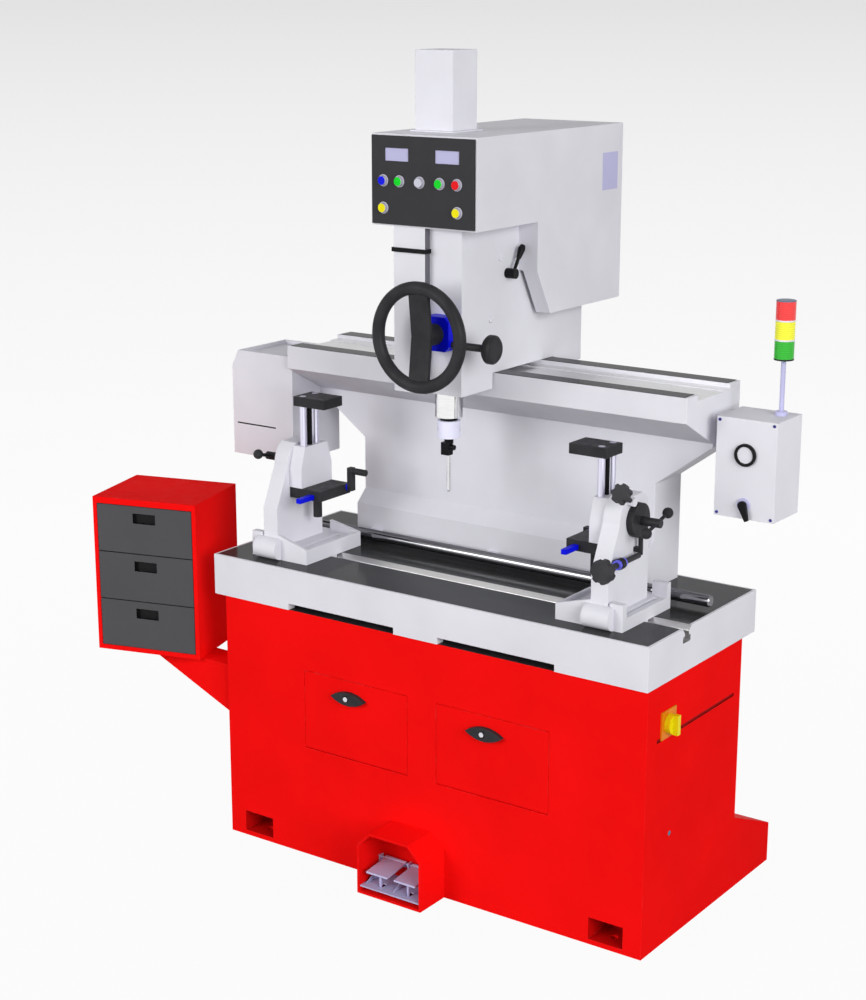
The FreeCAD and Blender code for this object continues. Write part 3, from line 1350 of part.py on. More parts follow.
def work_fixture(side):
    """Slotted base with an upright, a tilting block with jaw and guided clamp, and their handles."""
    sign = 1 if side == "right" else -1
    station = right_station if side == "right" else left_station

    def out(inner, outer):
        """Two planes at distances outwards from the fixture's inner edge, in X order."""
        if side == "right":
            return (station + inner, station + outer)
        return (-(station + outer), -(station + inner))

    def at(distance):
        """A place outwards from the fixture's inner edge."""
        return (station + distance) * sign

    foot = table_height + run_gap
    depth = (front + fixture_setback, front + fixture_setback + fixture_depth)
    axis = (front + tilt_setback, tilt_level)
    upright_outer = upright_inner + upright_thickness
    upright_span = out(upright_inner, upright_outer)

    plate = box(out(0, fixture_width), depth, (foot, foot + fixture_plate))
    rim = box(out(0, fixture_rim_width), depth, (foot, foot + fixture_rim))
    webs = []
    rear_web_front = depth[1] - fixture_web_thickness
    for web_front, web_height in ((depth[0], fixture_front_web), (rear_web_front, fixture_rear_web)):
        webs.append(prism("y", [
            (at(0), foot), (at(upright_inner), foot), (at(upright_inner), foot + web_height),
            (at(0), foot + fixture_rim),
        ], (web_front, web_front + fixture_web_thickness)))
    lug_span = out(fixture_width - fixture_lug_width, fixture_width)
    lug_height = (foot, foot + fixture_lug_height)
    lugs = [box(lug_span, (depth[0], depth[0] + fixture_lug_depth), lug_height),
            box(out(upright_outer, fixture_width), (depth[1] - fixture_lug_depth, depth[1]), lug_height)]
    arch = common(rod("x", axis, upright_span, upright_round),
                  box(upright_span, around(axis[0], upright_round), (foot, axis[1] + upright_rise)))
    wall = prism("x", [
        (depth[0], foot), (depth[0], foot + upright_shoulder), (axis[0] - upright_round / 2, axis[1]),
        (axis[0] + upright_round / 2, axis[1]), (axis[0] + upright_round / 2, foot),
    ], upright_span)
    boss = rod("x", (front + boss_setback, foot + boss_diameter / 2),
               out(boss_inner, boss_inner + boss_length), boss_diameter)
    tongue = box(out(fixture_rim_width, fixture_width - fixture_rim_width),
                 around(front + slot_setback, slot_mouth - run_gap * 2), (foot - tongue_depth, foot))
    shaft_bore = rod("x", axis, (upright_span[0] - cut_over, upright_span[1] + cut_over),
                     tilt_shaft_diameter + pin_gap * 2)
    spaces = [shaft_bore]
    slot_depth_span = (depth[0] + fixture_slot_inset, depth[1] - fixture_slot_inset)
    for middle in (at(upright_inner / 2), at((upright_outer + fixture_width) / 2)):
        spaces.append(box(around(middle, fixture_slot_width), slot_depth_span,
                          (foot + fixture_plate - fixture_slot_sink, foot + fixture_plate + cut_over)))
        spaces.append(rod("z", (middle, slot_depth_span[1]),
                          (foot - cut_over, foot + fixture_plate + cut_over), fixture_hole_diameter))
    solids = [plate, rim, arch, wall, boss, tongue] + webs + lugs

    lug_centre = (axis[0] - lock_lug_forward, axis[1] + lock_lug_rise)
    lock_foot = (at(upright_outer + lock_lug_length / 2), lug_centre[0], lug_centre[1])
    extras = []
    if side == "right":
        drive = (at(drive_knob_inner), tilt_level - drive_drop)
        bearing_front = front + drive_bearing_setback
        bearing_back = bearing_front + drive_bearing_depth
        bearing = rod("y", drive, (bearing_front, bearing_back), drive_bearing_width)
        bearing_arm = box(out(upright_outer, drive_knob_inner), (bearing_front, bearing_back),
                          around(drive[1], drive_bearing_width / 2))
        drive_bore = drive_rod_diameter + pin_gap * 2
        extras.append(cut(joined([bearing, bearing_arm]), [
            rod("y", drive, (bearing_front - cut_over, bearing_back + cut_over), drive_bore),
        ]))
        solids.append(rod("x", lug_centre, out(upright_outer - cut_over, upright_outer + lock_lug_length),
                          lock_lug_diameter))
        lock_bore = rod("z", (0, 0), (-lock_rod_seat - run_gap, lock_lug_diameter / 2 + cut_over),
                        lock_rod_diameter + pin_gap * 2)
        spaces.append(tilted([lock_bore], lock_foot, lock_knob_turn))
        post_place = (at(drive_knob_inner), front + drive_post_setback)
        post_top = tilt_level - dial_diameter / 2 - run_gap
        post = rod("z", post_place, (drive[1], post_top), drive_post_diameter)
        foot_block = box(out(upright_outer, drive_knob_inner), around(post_place[1], drive_post_foot),
                         around(drive[1] + drive_post_foot, drive_post_foot))
        extras.append(joined([post, foot_block]))
    keep(f"fixture_base_{side}", grouped([cut(joined(solids), spaces)] + extras))

    block_outer = upright_inner - run_gap
    block_span = out(block_outer - block_width, block_outer)
    low = axis[1] - block_drop
    high = axis[1] + block_rise
    block_face = (axis[0] - block_front, axis[0] + block_rear)
    block = prism("x", [
        (block_face[0], low), (block_face[1], low), (block_face[1], axis[1] - block_shoulder),
        (block_face[1] - block_taper, high), (block_face[0] + block_taper, high),
        (block_face[0], axis[1] - block_shoulder),
    ], block_span)
    tilt_shaft = rod("x", axis, out(block_outer, upright_outer), tilt_shaft_diameter)
    dial_shaft = rod("x", axis, out(upright_outer, upright_outer + dial_shaft_length), dial_shaft_diameter)
    guide_x = at(block_outer - block_width + guide_inset)
    guide_y = front + guide_setback
    guide_places = [(guide_x, guide_y - guide_spacing / 2), (guide_x, guide_y + guide_spacing / 2)]
    bores = [(place_xy, guide_diameter) for place_xy in guide_places]
    bores.append(((guide_x, guide_y), screw_diameter))
    jaw_low = low - jaw_thickness
    guide_bores = [rod("z", place_xy, (jaw_low - cut_over, high + cut_over), diameter + pin_gap * 2)
                   for place_xy, diameter in bores]
    keep(f"tilt_block_{side}", cut(joined([block, tilt_shaft, dial_shaft]), guide_bores))

    jaw = box(out(-jaw_over, block_outer), block_face, (jaw_low, low))
    jack = rod("z", (at(jack_inset), front + jack_setback), (jaw_low - jack_length, jaw_low), jack_diameter)
    jaw_bores = [rod("z", place_xy, (jaw_low - cut_over, low + cut_over), diameter + pin_gap * 2)
                 for place_xy, diameter in bores]
    crank_axis = (front + crank_setback, tilt_level - crank_drop)
    jaw_bores.append(rod("x", crank_axis, out(-jaw_over - cut_over, crank_seat + run_gap),
                         crank_shaft_diameter + pin_gap * 2))
    lever_centre = (at(jaw_lever_inset), tilt_level - jaw_lever_drop)
    jaw_bores.append(rod("y", lever_centre,
                         (block_face[0] - cut_over, block_face[0] + jaw_lever_seat + run_gap),
                         jaw_lever_pin_diameter + pin_gap * 2))
    keep(f"jaw_{side}", cut(joined([jaw, jack]), jaw_bores))

    clamp_face = (front + clamp_setback, front + clamp_setback + clamp_depth)
    clamp_low = clamp_level if side == "right" else clamp_level + clamp_left_rise
    clamp_height = (clamp_low, clamp_low + clamp_thickness)
    clamp = box(out(-clamp_over, block_outer - clamp_inset), clamp_face, clamp_height)
    clamp_holes = [rod("z", place_xy, (clamp_low - cut_over, clamp_height[1] + cut_over), diameter)
                   for place_xy, diameter in bores]
    guides = [rod("z", place_xy, (low + guide_foot, clamp_height[1]), diameter)
              for place_xy, diameter in bores]
    keep(f"clamp_{side}", grouped([cut(clamp, clamp_holes)] + guides))

    arm_outer = -jaw_over - crank_standoff
    arm_inner = arm_outer - crank_arm_thickness
    crank_shaft = rod("x", crank_axis, out(arm_inner, crank_seat), crank_shaft_diameter)
    arm_end = crank_axis[1] - crank_arm_length * sign
    arm_middle = (crank_axis[1] + arm_end) / 2
    arm = box(out(arm_inner, arm_outer), around(crank_axis[0], crank_arm_width),
              around(arm_middle, crank_arm_length + crank_arm_width))
    handle_span = out(arm_inner - crank_handle_length, arm_inner)
    handle = rod("x", (crank_axis[0], arm_end), handle_span, crank_handle_diameter)
    keep(f"crank_{side}", joined([crank_shaft, arm, handle]))

    lever_back = block_face[0] - run_gap
    bar = box(around(lever_centre[0], jaw_lever_width), (lever_back - jaw_lever_length, lever_back),
              around(lever_centre[1], jaw_lever_height))
    lever_pin = rod("y", lever_centre, (lever_back, block_face[0] + jaw_lever_seat), jaw_lever_pin_diameter)
    keep(f"jaw_lever_{side}", joined([bar, lever_pin]))

    dial_inner = upright_outer + run_gap
    hub_inner = dial_inner + dial_thickness
    hub_outer = hub_inner + dial_hub_length
    if side == "left":
        hub_outer = hub_outer + dial_left_extra
    dial = rod("x", axis, out(dial_inner, hub_inner), dial_diameter)
    hub = rod("x", axis, out(hub_inner, hub_outer), dial_hub_diameter)
    dial_bore = rod("x", axis, out(dial_inner - cut_over, upright_outer + dial_shaft_length + run_gap),
                    dial_shaft_diameter + pin_gap * 2)
    arms = rod("z", (0, 0), (-dial_arm_length, dial_arm_length), dial_arm_diameter)
    balls = [ball((0, 0, reach), dial_ball_diameter) for reach in (-dial_arm_length, dial_arm_length)]
    cross_place = (at(hub_outer - dial_hub_diameter / 2), axis[0], axis[1])
    cross = tilted([arms] + balls, cross_place, dial_arm_turn * -sign)
    keep(f"tilt_dial_{side}", cut(joined([dial, hub, cross]), [dial_bore]))

    if side == "right":
        stalk = rod("z", (0, 0), (-lock_rod_seat, lock_rod_reach), lock_rod_diameter)
        knob = star(lock_rod_reach, star_diameter)
        keep("tilt_lock_knob", tilted([stalk, knob], lock_foot, lock_knob_turn))
        rod_front = front + drive_rod_front
        stalk = rod("z", (0, 0), (-drive_rod_length, 0), drive_rod_diameter)
        knob = star(dim(0), drive_star_diameter)
        keep("tilt_drive_knob", tilted([stalk, knob], (drive[0], rod_front, drive[1]), QUARTER_TURN))


base_cabinet()
main_switch()
table()
bridge()
service_box()
control_box()
drawer_cabinet()
foot_pedals()
head_casting()
head_cover()
spindle_drive()
hand_feed()
head_controls()
for flank in ("left", "right"):
    flap_door(flank)
    work_fixture(flank)
doc.recompute()

faults = [thing.Name for thing in doc.Objects if {"Invalid", "Error"} & set(thing.State)]
faults += [node.Label for node in nodes if node.Shape.isNull() or not node.Shape.isValid()]
if faults:
    raise RuntimeError("not built: " + ", ".join(faults))
os.makedirs("parts", exist_ok=True)
for node in nodes:
    node.Shape.exportStep(f"parts/{node.Label}.step")
    print(node.Label, len(node.Shape.Solids), round(node.Shape.Volume))
print(len(nodes), "nodes")
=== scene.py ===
import json
import math

import bmesh
import bpy
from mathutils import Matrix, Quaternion, Vector
from mathutils.bvhtree import BVHTree

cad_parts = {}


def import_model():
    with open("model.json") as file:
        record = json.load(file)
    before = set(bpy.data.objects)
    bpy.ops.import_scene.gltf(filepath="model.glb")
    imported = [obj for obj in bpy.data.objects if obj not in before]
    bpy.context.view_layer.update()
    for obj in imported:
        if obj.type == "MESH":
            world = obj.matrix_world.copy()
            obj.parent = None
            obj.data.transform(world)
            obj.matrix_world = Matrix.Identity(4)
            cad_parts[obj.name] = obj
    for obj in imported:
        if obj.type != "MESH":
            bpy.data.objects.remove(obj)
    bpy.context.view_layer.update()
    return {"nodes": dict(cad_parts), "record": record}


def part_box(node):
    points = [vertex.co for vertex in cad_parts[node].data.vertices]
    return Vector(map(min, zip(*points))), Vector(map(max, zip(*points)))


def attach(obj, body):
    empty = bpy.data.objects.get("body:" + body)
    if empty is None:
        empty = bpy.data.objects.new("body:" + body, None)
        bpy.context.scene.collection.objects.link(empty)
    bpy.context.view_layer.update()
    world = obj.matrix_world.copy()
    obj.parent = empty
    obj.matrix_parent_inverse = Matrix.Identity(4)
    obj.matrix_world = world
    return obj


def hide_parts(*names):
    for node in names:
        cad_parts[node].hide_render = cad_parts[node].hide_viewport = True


# Looks of a valve seat and guide machine: finishes, rounded edges, trim, studio and camera.
# Lengths are metres in the CAD frame: +X to the operator's right, +Y to the rear, +Z up.

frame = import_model()
record = frame["record"]
BODY_OF = {node: body for body, members in record["behaviour"]["bodies"].items() for node in members}
SIDES = ("left", "right")
MM = 0.001
WELD = 0.01 * MM
SLIVER = 0.05 * MM
# A sunk face lies at least this far below the surface around it
SKIN = 0.2 * MM
# Least cosine for a face that looks along an axis
STRAIGHT = 0.9

# Colours, linear
RED = (0.93, 0.0058, 0.0058)
GREY = (0.76, 0.755, 0.812)
CHARCOAL = (0.030, 0.030, 0.033)
DRAWER_GREY = (0.078, 0.078, 0.084)
BLACK = (0.006, 0.006, 0.007)
BLUE = (0.003, 0.006, 0.74)
LAVENDER = (0.52, 0.51, 0.76)
PALE = (0.78, 0.78, 0.84)
ORANGE = (0.76, 0.22, 0.004)
YELLOW = (0.88, 0.78, 0.006)
GREEN = (0.004, 0.66, 0.02)
LENS_GREEN = (0.036, 0.49, 0.036)
LENS_YELLOW = (0.97, 0.95, 0.05)
LENS_RED = (0.95, 0.06, 0.06)
TEAL = (0.01, 0.20, 0.30)
MIRROR_DARK = (0.10, 0.102, 0.103)
STEEL = (0.60, 0.60, 0.62)
CHROME = (0.80, 0.80, 0.84)
DARK_RIM = (0.55, 0.55, 0.56, 1.0)
QUILL_RIM = (0.25, 0.25, 0.27, 1.0)


def shade(colour, factor):
    """A colour made lighter or darker."""
    return tuple(min(channel * factor, 1.0) for channel in colour)


def toward(colour, other, share):
    """A colour part of the way to another."""
    return tuple(a + (b - a) * share for a, b in zip(colour, other))


class Recipe:
    """A material's node tree, with short calls for the nodes that the finishes share."""

    def __init__(self, name):
        self.material = bpy.data.materials.new(name)
        self.material.use_nodes = True
        self.tree = self.material.node_tree
        self.shader = self.tree.nodes["Principled BSDF"]
        self.place = self.node("ShaderNodeTexCoord").outputs["Object"]

    def node(self, kind, **settings):
        made = self.tree.nodes.new(kind)
        for name, value in settings.items():
            setattr(made, name, value)
        return made

    def link(self, source, target):
        self.tree.links.new(source, target)

    def set(self, **values):
        """Constant values on the shader's own sockets."""
        for name, value in values.items():
            self.shader.inputs[name.replace("_", " ").title().replace("Ior", "IOR")].default_value = value

    def stretched(self, stretch):
        """Places scaled along each axis, for a pattern that runs one way."""
        mapping = self.node("ShaderNodeMapping")
        mapping.inputs["Scale"].default_value = stretch
        self.link(self.place, mapping.inputs["Vector"])
        return mapping.outputs["Vector"]

    def noise(self, scale, detail=2.0, stretch=None):
        """Noise at a number of features a metre."""
        texture = self.node("ShaderNodeTexNoise")
        texture.inputs["Scale"].default_value = scale
        texture.inputs["Detail"].default_value = detail
        self.link(self.stretched(stretch) if stretch else self.place, texture.inputs["Vector"])
        return texture.outputs["Fac"]

    def spread(self, value, span, result):
        """A value remapped from one span to another, held at the ends."""
        ranged = self.node("ShaderNodeMapRange")
        self.link(value, ranged.inputs["Value"])
        for name, number in zip(("From Min", "From Max", "To Min", "To Max"), span + result):
            ranged.inputs[name].default_value = number
        return ranged.outputs["Result"]

    def maths(self, operation, first, second):
        """One sum on two values, either of which may be a number."""
        made = self.node("ShaderNodeMath", operation=operation)
        for socket, value in zip(made.inputs, (first, second)):
            if isinstance(value, (int, float)):
                socket.default_value = value
            else:
                self.link(value, socket)
        return made.outputs["Value"]

    def mixed(self, amount, first, second):
        """Two colours mixed by a value; the first may come from another node."""
        mix = self.node("ShaderNodeMix", data_type="RGBA")
        self.link(amount, mix.inputs["Factor"])
        for socket, colour in zip((mix.inputs["A"], mix.inputs["B"]), (first, second)):
            if isinstance(colour, tuple):
                socket.default_value = (*colour, 1.0)
            else:
                self.link(colour, socket)
        return mix.outputs["Result"]

    def edges(self, radius):
        """A mask that rises along the piece's edges."""
        rounded = self.node("ShaderNodeBevel", samples=4)
        rounded.inputs["Radius"].default_value = radius
        plain = self.node("ShaderNodeNewGeometry")
        across = self.node("ShaderNodeVectorMath", operation="DOT_PRODUCT")
        self.link(rounded.outputs["Normal"], across.inputs[0])
        self.link(plain.outputs["Normal"], across.inputs[1])
        return self.spread(across.outputs["Value"], (0.98, 0.80), (0.0, 1.0))

    def colour(self, source):
        self.link(source, self.shader.inputs["Base Color"])

    def gloss(self, value, span):
        self.link(self.spread(value, (0.3, 0.7), span), self.shader.inputs["Roughness"])

    def bump(self, height, strength, distance):
        made = self.node("ShaderNodeBump")
        made.inputs["Strength"].default_value = strength
        made.inputs["Distance"].default_value = distance
        self.link(height, made.inputs["Height"])
        self.link(made.outputs["Normal"], self.shader.inputs["Normal"])


def paint(name, colour, gloss, specular=0.3, wear=0.35):
    """Sprayed paint: orange peel, a slow drift of colour, and edges rubbed a little lighter."""
    recipe = Recipe(name)
    drift = recipe.spread(recipe.noise(4, 3), (0.35, 0.65), (0.0, 1.0))
    coat = recipe.mixed(drift, shade(colour, 0.95), shade(colour, 1.03))
    rubbed = recipe.spread(recipe.noise(55, 4), (0.45, 0.75), (0.0, wear))
    worn = recipe.maths("MULTIPLY", recipe.edges(1.6 * MM), rubbed)
    recipe.colour(recipe.mixed(worn, coat, toward(colour, PALE, 0.45)))
    recipe.gloss(recipe.noise(30, 3), (gloss - 0.06, gloss + 0.08))
    recipe.bump(recipe.noise(650, 1), 0.05, 0.4 * MM)
    recipe.set(specular_ior_level=specular)
    return recipe.material


def metal(name, colour, gloss, lines, depth=0.06, rim=(1.0, 1.0, 1.0, 1.0), bare=1.0):
    """Machined metal: fine tool lines break up its gloss, and smears dull it; rim tints grazing light.

    A bare share below one leaves a thin dull film on the metal.
    """
    recipe = Recipe(name)
    streak = recipe.noise(1, 3, lines)
    smear = recipe.noise(9, 4)
    tone = recipe.spread(streak, (0.3, 0.7), (0.0, 1.0))
    recipe.colour(recipe.mixed(tone, shade(colour, 0.90), shade(colour, 1.06)))
    cloud = recipe.maths("ADD", recipe.maths("MULTIPLY", streak, 0.6), recipe.maths("MULTIPLY", smear, 0.4))
    recipe.gloss(cloud, (max(gloss - 0.05, 0.02), gloss + 0.09))
    recipe.bump(streak, depth, 0.15 * MM)
    recipe.set(metallic=bare, specular_tint=rim, specular_ior_level=0.05)
    return recipe.material


def oxide(name, colour, gloss):
    """Blackened steel: a fine cast grain, handled edges that show a little bare metal."""
    recipe = Recipe(name)
    cloud = recipe.spread(recipe.noise(22, 4), (0.35, 0.65), (0.0, 1.0))
    skin = recipe.mixed(cloud, shade(colour, 0.82), shade(colour, 1.18))
    bare = recipe.spread(recipe.noise(80, 3), (0.40, 0.70), (0.0, 0.5))
    rubbed = recipe.maths("MULTIPLY", recipe.edges(1.2 * MM), bare)
    recipe.colour(recipe.mixed(rubbed, skin, toward(colour, STEEL, 0.5)))
    recipe.gloss(recipe.noise(60, 3), (gloss - 0.07, gloss + 0.08))
    recipe.bump(recipe.noise(900, 2), 0.08, 0.3 * MM)
    recipe.set(specular_ior_level=0.08)
    return recipe.material


def plastic(name, colour, gloss, grain=0.05, specular=0.12):
    """Moulded plastic: a fine spark grain and faint flow marks."""
    recipe = Recipe(name)
    flow = recipe.spread(recipe.noise(35, 2, (1, 1, 0.3)), (0.3, 0.7), (0.0, 1.0))
    recipe.colour(recipe.mixed(flow, shade(colour, 0.93), shade(colour, 1.05)))
    recipe.gloss(recipe.noise(120, 3), (max(gloss - 0.05, 0.03), gloss + 0.07))
    recipe.bump(recipe.noise(1500, 1), grain, 0.2 * MM)
    recipe.set(specular_ior_level=specular)
    return recipe.material


def lens(name, colour):
    """Signal lens: ribbed inside, glossy outside."""
    recipe = Recipe(name)
    ribs = recipe.node("ShaderNodeTexWave", wave_type="BANDS", bands_direction="Z")
    ribs.inputs["Scale"].default_value = 60
    recipe.link(recipe.place, ribs.inputs["Vector"])
    recipe.colour(recipe.mixed(ribs.outputs["Fac"], shade(colour, 0.88), shade(colour, 1.05)))
    recipe.gloss(recipe.noise(90, 2), (0.10, 0.20))
    recipe.bump(ribs.outputs["Fac"], 0.05, 0.3 * MM)
    recipe.set(specular_ior_level=0.35)
    return recipe.material


def display(name):
    """Display window: a pale tinted filter over a fine grid of cells."""
    recipe = Recipe(name)
    cells = recipe.node("ShaderNodeTexVoronoi", distance="CHEBYCHEV")
    cells.inputs["Scale"].default_value = 700
    cells.inputs["Randomness"].default_value = 0.0
    recipe.link(recipe.place, cells.inputs["Vector"])
    grid = recipe.spread(cells.outputs["Distance"], (0.0, 0.6), (0.0, 1.0))
    recipe.colour(recipe.mixed(grid, LAVENDER, shade(LAVENDER, 0.88)))
    recipe.gloss(recipe.noise(40, 2), (0.08, 0.16))
    recipe.bump(grid, 0.03, 0.1 * MM)
    recipe.set(specular_ior_level=0.3)
    return recipe.material


def tread(name, colour):
    """Satin sheet with a fine crossed tread rolled into it."""
    recipe = Recipe(name)
    heights = []
    for direction in ("X", "Y"):
        wave = recipe.node("ShaderNodeTexWave", wave_type="BANDS", bands_direction=direction)
        wave.inputs["Scale"].default_value = 70
        recipe.link(recipe.place, wave.inputs["Vector"])
        heights.append(wave.outputs["Fac"])
    relief = recipe.maths("MULTIPLY", *heights)
    rubbed = recipe.spread(relief, (0.3, 0.9), (0.0, 1.0))
    recipe.colour(recipe.mixed(rubbed, shade(colour, 0.85), shade(colour, 1.08)))
    recipe.gloss(recipe.noise(45, 3), (0.28, 0.42))
    recipe.bump(relief, 0.25, 0.6 * MM)
    recipe.set(metallic=0.15)
    return recipe.material


ALONG_X = (6, 420, 420)
ALONG_Z = (420, 420, 6)
ROUND_Z = (30, 30, 2400)

red = paint("red_gloss_paint", RED, 0.40, specular=0.003)
grey = paint("grey_satin_paint", GREY, 0.44, specular=0.08)
panel = paint("panel_satin_paint", CHARCOAL, 0.45, specular=0.12, wear=0.15)
drawer = paint("drawer_satin_paint", DRAWER_GREY, 0.42, specular=0.10, wear=0.25)
# Painted shade: dark grey for the post's right side face
post_painted_shade = paint("post_side_painted_shade", (0.13, 0.13, 0.15), 0.5, specular=0.08)
ring_grey = paint("button_ring_enamel", (0.50, 0.49, 0.58), 0.30)
collar_pale = paint("collar_pale_paint", (0.80, 0.80, 0.97), 0.30)
blue = paint("blue_gloss_paint", BLUE, 0.32, specular=0.08)
# Painted shade: a darker red for the faces of the groove in the base's right side
groove_painted_shade = paint("groove_painted_shade_paint", shade(RED, 0.35), 0.5, specular=0.1)
# Painted shade: a darker red for the inside walls of the anchor pockets
pocket_painted_shade = paint("pocket_painted_shade_paint", shade(RED, 0.62), 0.5, specular=0.02)
collar_paint = paint("collar_blue_paint", (0.14, 0.14, 0.82), 0.34)
screw_blue = oxide("screw_blued_steel", (0.05, 0.05, 0.26), 0.3)
tower_cap = plastic("tower_cap_plastic", (0.16, 0.20, 0.30), 0.3)
orange = plastic("orange_switch_plate", ORANGE, 0.35)
lavender = paint("lavender_satin_paint", LAVENDER, 0.36)
table_metal = metal("table_ground_face", MIRROR_DARK, 0.12, ALONG_X, 0.01, DARK_RIM, bare=0.6)
slot_metal = metal("slot_ground_steel", (0.72, 0.71, 0.71), 0.34, ALONG_X)
way_metal = metal("way_ground_face", shade(MIRROR_DARK, 0.75), 0.12, ALONG_X, 0.01, DARK_RIM, bare=0.7)
channel_metal = metal("channel_milled_steel", (0.80, 0.80, 0.80), 0.36, ALONG_X)
bar_metal = metal("bar_hard_chrome", shade(CHROME, 0.33), 0.08, ALONG_X, 0.008, (0.4, 0.4, 0.42, 1.0))
chrome = metal("column_hard_chrome", (0.72, 0.71, 0.84), 0.32, ALONG_Z, 0.004)
quill_metal = metal("quill_ground_steel", (0.93, 0.93, 0.93), 0.11, ROUND_Z, 0.002, QUILL_RIM)
spindle_metal = metal("spindle_ground_steel", (0.45, 0.45, 0.47), 0.22, ROUND_Z)
pilot_metal = metal("pilot_ground_steel", (0.80, 0.80, 0.81), 0.14, ROUND_Z, depth=0.02)
dark = oxide("oxide_black_steel", CHARCOAL, 0.40)
wheel_dark = oxide("wheel_enamel", CHARCOAL, 0.42)
knob_dark = oxide("knob_enamel", shade(CHARCOAL, 1.5), 0.40)
tool_dark = oxide("tool_black_steel", BLACK, 0.32)
motor_iron = oxide("motor_painted_iron", (0.16, 0.17, 0.19), 0.55)
black = plastic("black_moulded_plastic", BLACK, 0.38, grain=0.08)
pale = plastic("pale_moulded_plastic", PALE, 0.30)
teal = plastic("teal_lock_face", TEAL, 0.30)
pedal_sheet = tread("pedal_tread_sheet", (0.56, 0.54, 0.82))
tray_sheet = paint("tray_satin_paint", shade(LAVENDER, 0.92), 0.38)
BUTTON_HUES = {"blue": BLUE, "green": GREEN, "grey": (0.62, 0.62, 0.72), "red": (0.78, 0.006, 0.010),
               "yellow": YELLOW}
buttons = {hue: plastic(f"button_{hue}_plastic", colour, 0.18) for hue, colour in BUTTON_HUES.items()}
switch_yellow = plastic("switch_yellow_plastic", (0.84, 0.72, 0.006), 0.26)
lens_green = lens("lens_green", LENS_GREEN)
lens_yellow = lens("lens_yellow", LENS_YELLOW)
lens_red = lens("lens_red", LENS_RED)
window = display("display_window")


def facing(corners):
    """The normal of a triangle."""
    return (corners[1] - corners[0]).cross(corners[2] - corners[0]).normalized()


def across(face, edge, others, places):
    """The triangle across an edge in the same solid, also where two solids touch along that edge."""
    if len(others) < 2:
        return others
    start, end = (places[corner] for corner in edge)
    along = (end - start).normalized()
    normal = facing([places[corner] for corner in face])

    def into(one):
        tip = [places[corner] for corner in one if corner not in edge][0] - start
        return (tip - along * tip.dot(along)).normalized()

    def turn(other):
        angle = math.atan2(into(other).dot(-normal), into(other).dot(into(face)))
        return angle if angle > 0.01 else angle + math.tau

    return [min(others, key=turn)]


def sides_of(face):
    """A triangle's three edges, each from corner to corner as the triangle runs."""
    return tuple(zip(face, face[1:] + face[:1]))


def solids_of(node):
    """A node's corner places, and one list of triangles for each closed solid in it."""
    data = frame["nodes"][node].data
    numbers = {}
    places = []
    corner_of = []
    for vertex in data.vertices:
        key = tuple(round(value / WELD) for value in vertex.co)
        if key not in numbers:
            numbers[key] = len(places)
            places.append(vertex.co.copy())
        corner_of.append(numbers[key])
    data.calc_loop_triangles()
    faces = [tuple(corner_of[corner] for corner in triangle.vertices) for triangle in data.loop_triangles]
    faces = [face for face in faces if len(set(face)) == 3]
    along = {}
    for face in faces:
        for edge in sides_of(face):
            along.setdefault(edge, []).append(face)
    left = set(faces)
    solids = []
    for first in faces:
        if first not in left:
            continue
        left.remove(first)
        reached = [first]
        for face in reached:
            for start, end in sides_of(face):
                for other in across(face, (start, end), along.get((end, start), []), places):
                    if other in left:
                        left.remove(other)
                        reached.append(other)
        solids.append(reached)
    return places, solids


def extent(places, faces):
    """Lowest and highest corner of some triangles."""
    points = [places[corner] for face in faces for corner in face]
    low = Vector(map(min, zip(*points)))
    high = Vector(map(max, zip(*points)))
    return low, high


def piece_from(name, places, solids, planes=()):
    """A new object from some solids: flat areas joined into single faces, then cut along given planes."""
    made = bmesh.new()
    for faces in solids:
        corners = sorted({corner for face in faces for corner in face})
        copies = {corner: made.verts.new(places[corner]) for corner in corners}
        for face in faces:
            made.faces.new([copies[corner] for corner in face])
    bmesh.ops.dissolve_degenerate(made, dist=SLIVER, edges=made.edges)
    made.normal_update()
    bmesh.ops.dissolve_limit(made, angle_limit=math.radians(0.3), verts=made.verts, edges=made.edges)
    for spot, normal in planes:
        everything = made.verts[:] + made.edges[:] + made.faces[:]
        bmesh.ops.bisect_plane(made, geom=everything, plane_co=spot, plane_no=normal)
    return new_piece(name, made)


def new_piece(name, mesh):
    """A smooth-shaded object from a mesh."""
    for face in mesh.faces:
        face.smooth = True
    data = bpy.data.meshes.new(name)
    mesh.to_mesh(data)
    mesh.free()
    piece = bpy.data.objects.new(name, data)
    bpy.context.collection.objects.link(piece)
    return piece


def rounded(piece, width, segments=3):
    """Edges rounded off with the flat faces kept flat, by less where the full width would fold a face."""
    bevel = piece.modifiers.new("rounded edges", "BEVEL")
    bevel.width = width
    bevel.segments = segments
    bevel.limit_method = "ANGLE"
    bevel.angle_limit = math.radians(34)
    bevel.use_clamp_overlap = False
    corners = [vertex.co for vertex in piece.data.vertices]
    surface = BVHTree.FromPolygons(corners, [face.vertices for face in piece.data.polygons])
    while folded(piece, surface, bevel.width) and bevel.width > 0.1 * MM:
        bevel.width = bevel.width * 0.7
    normals = piece.modifiers.new("flat faces", "WEIGHTED_NORMAL")
    normals.keep_sharp = True
    return piece


def folded(piece, surface, width):
    """Whether the rounded piece leaves its own surface, or has a face of some width turned over."""
    seen = piece.evaluated_get(bpy.context.evaluated_depsgraph_get())
    shape = seen.to_mesh()
    shape.calc_loop_triangles()
    lost = max(surface.find_nearest(vertex.co)[3] for vertex in shape.vertices) > width
    for triangle in shape.loop_triangles:
        first, second, third = (shape.vertices[corner].co for corner in triangle.vertices)
        longest = max((second - first).length, (third - second).length, (first - third).length)
        if triangle.area < 0.3 * MM * longest:
            continue
        normal, distance = surface.find_nearest((first + second + third) / 3)[1::2]
        if distance > width or normal.dot(triangle.normal) < -0.3:
            lost = True
    seen.to_mesh_clear()
    return lost


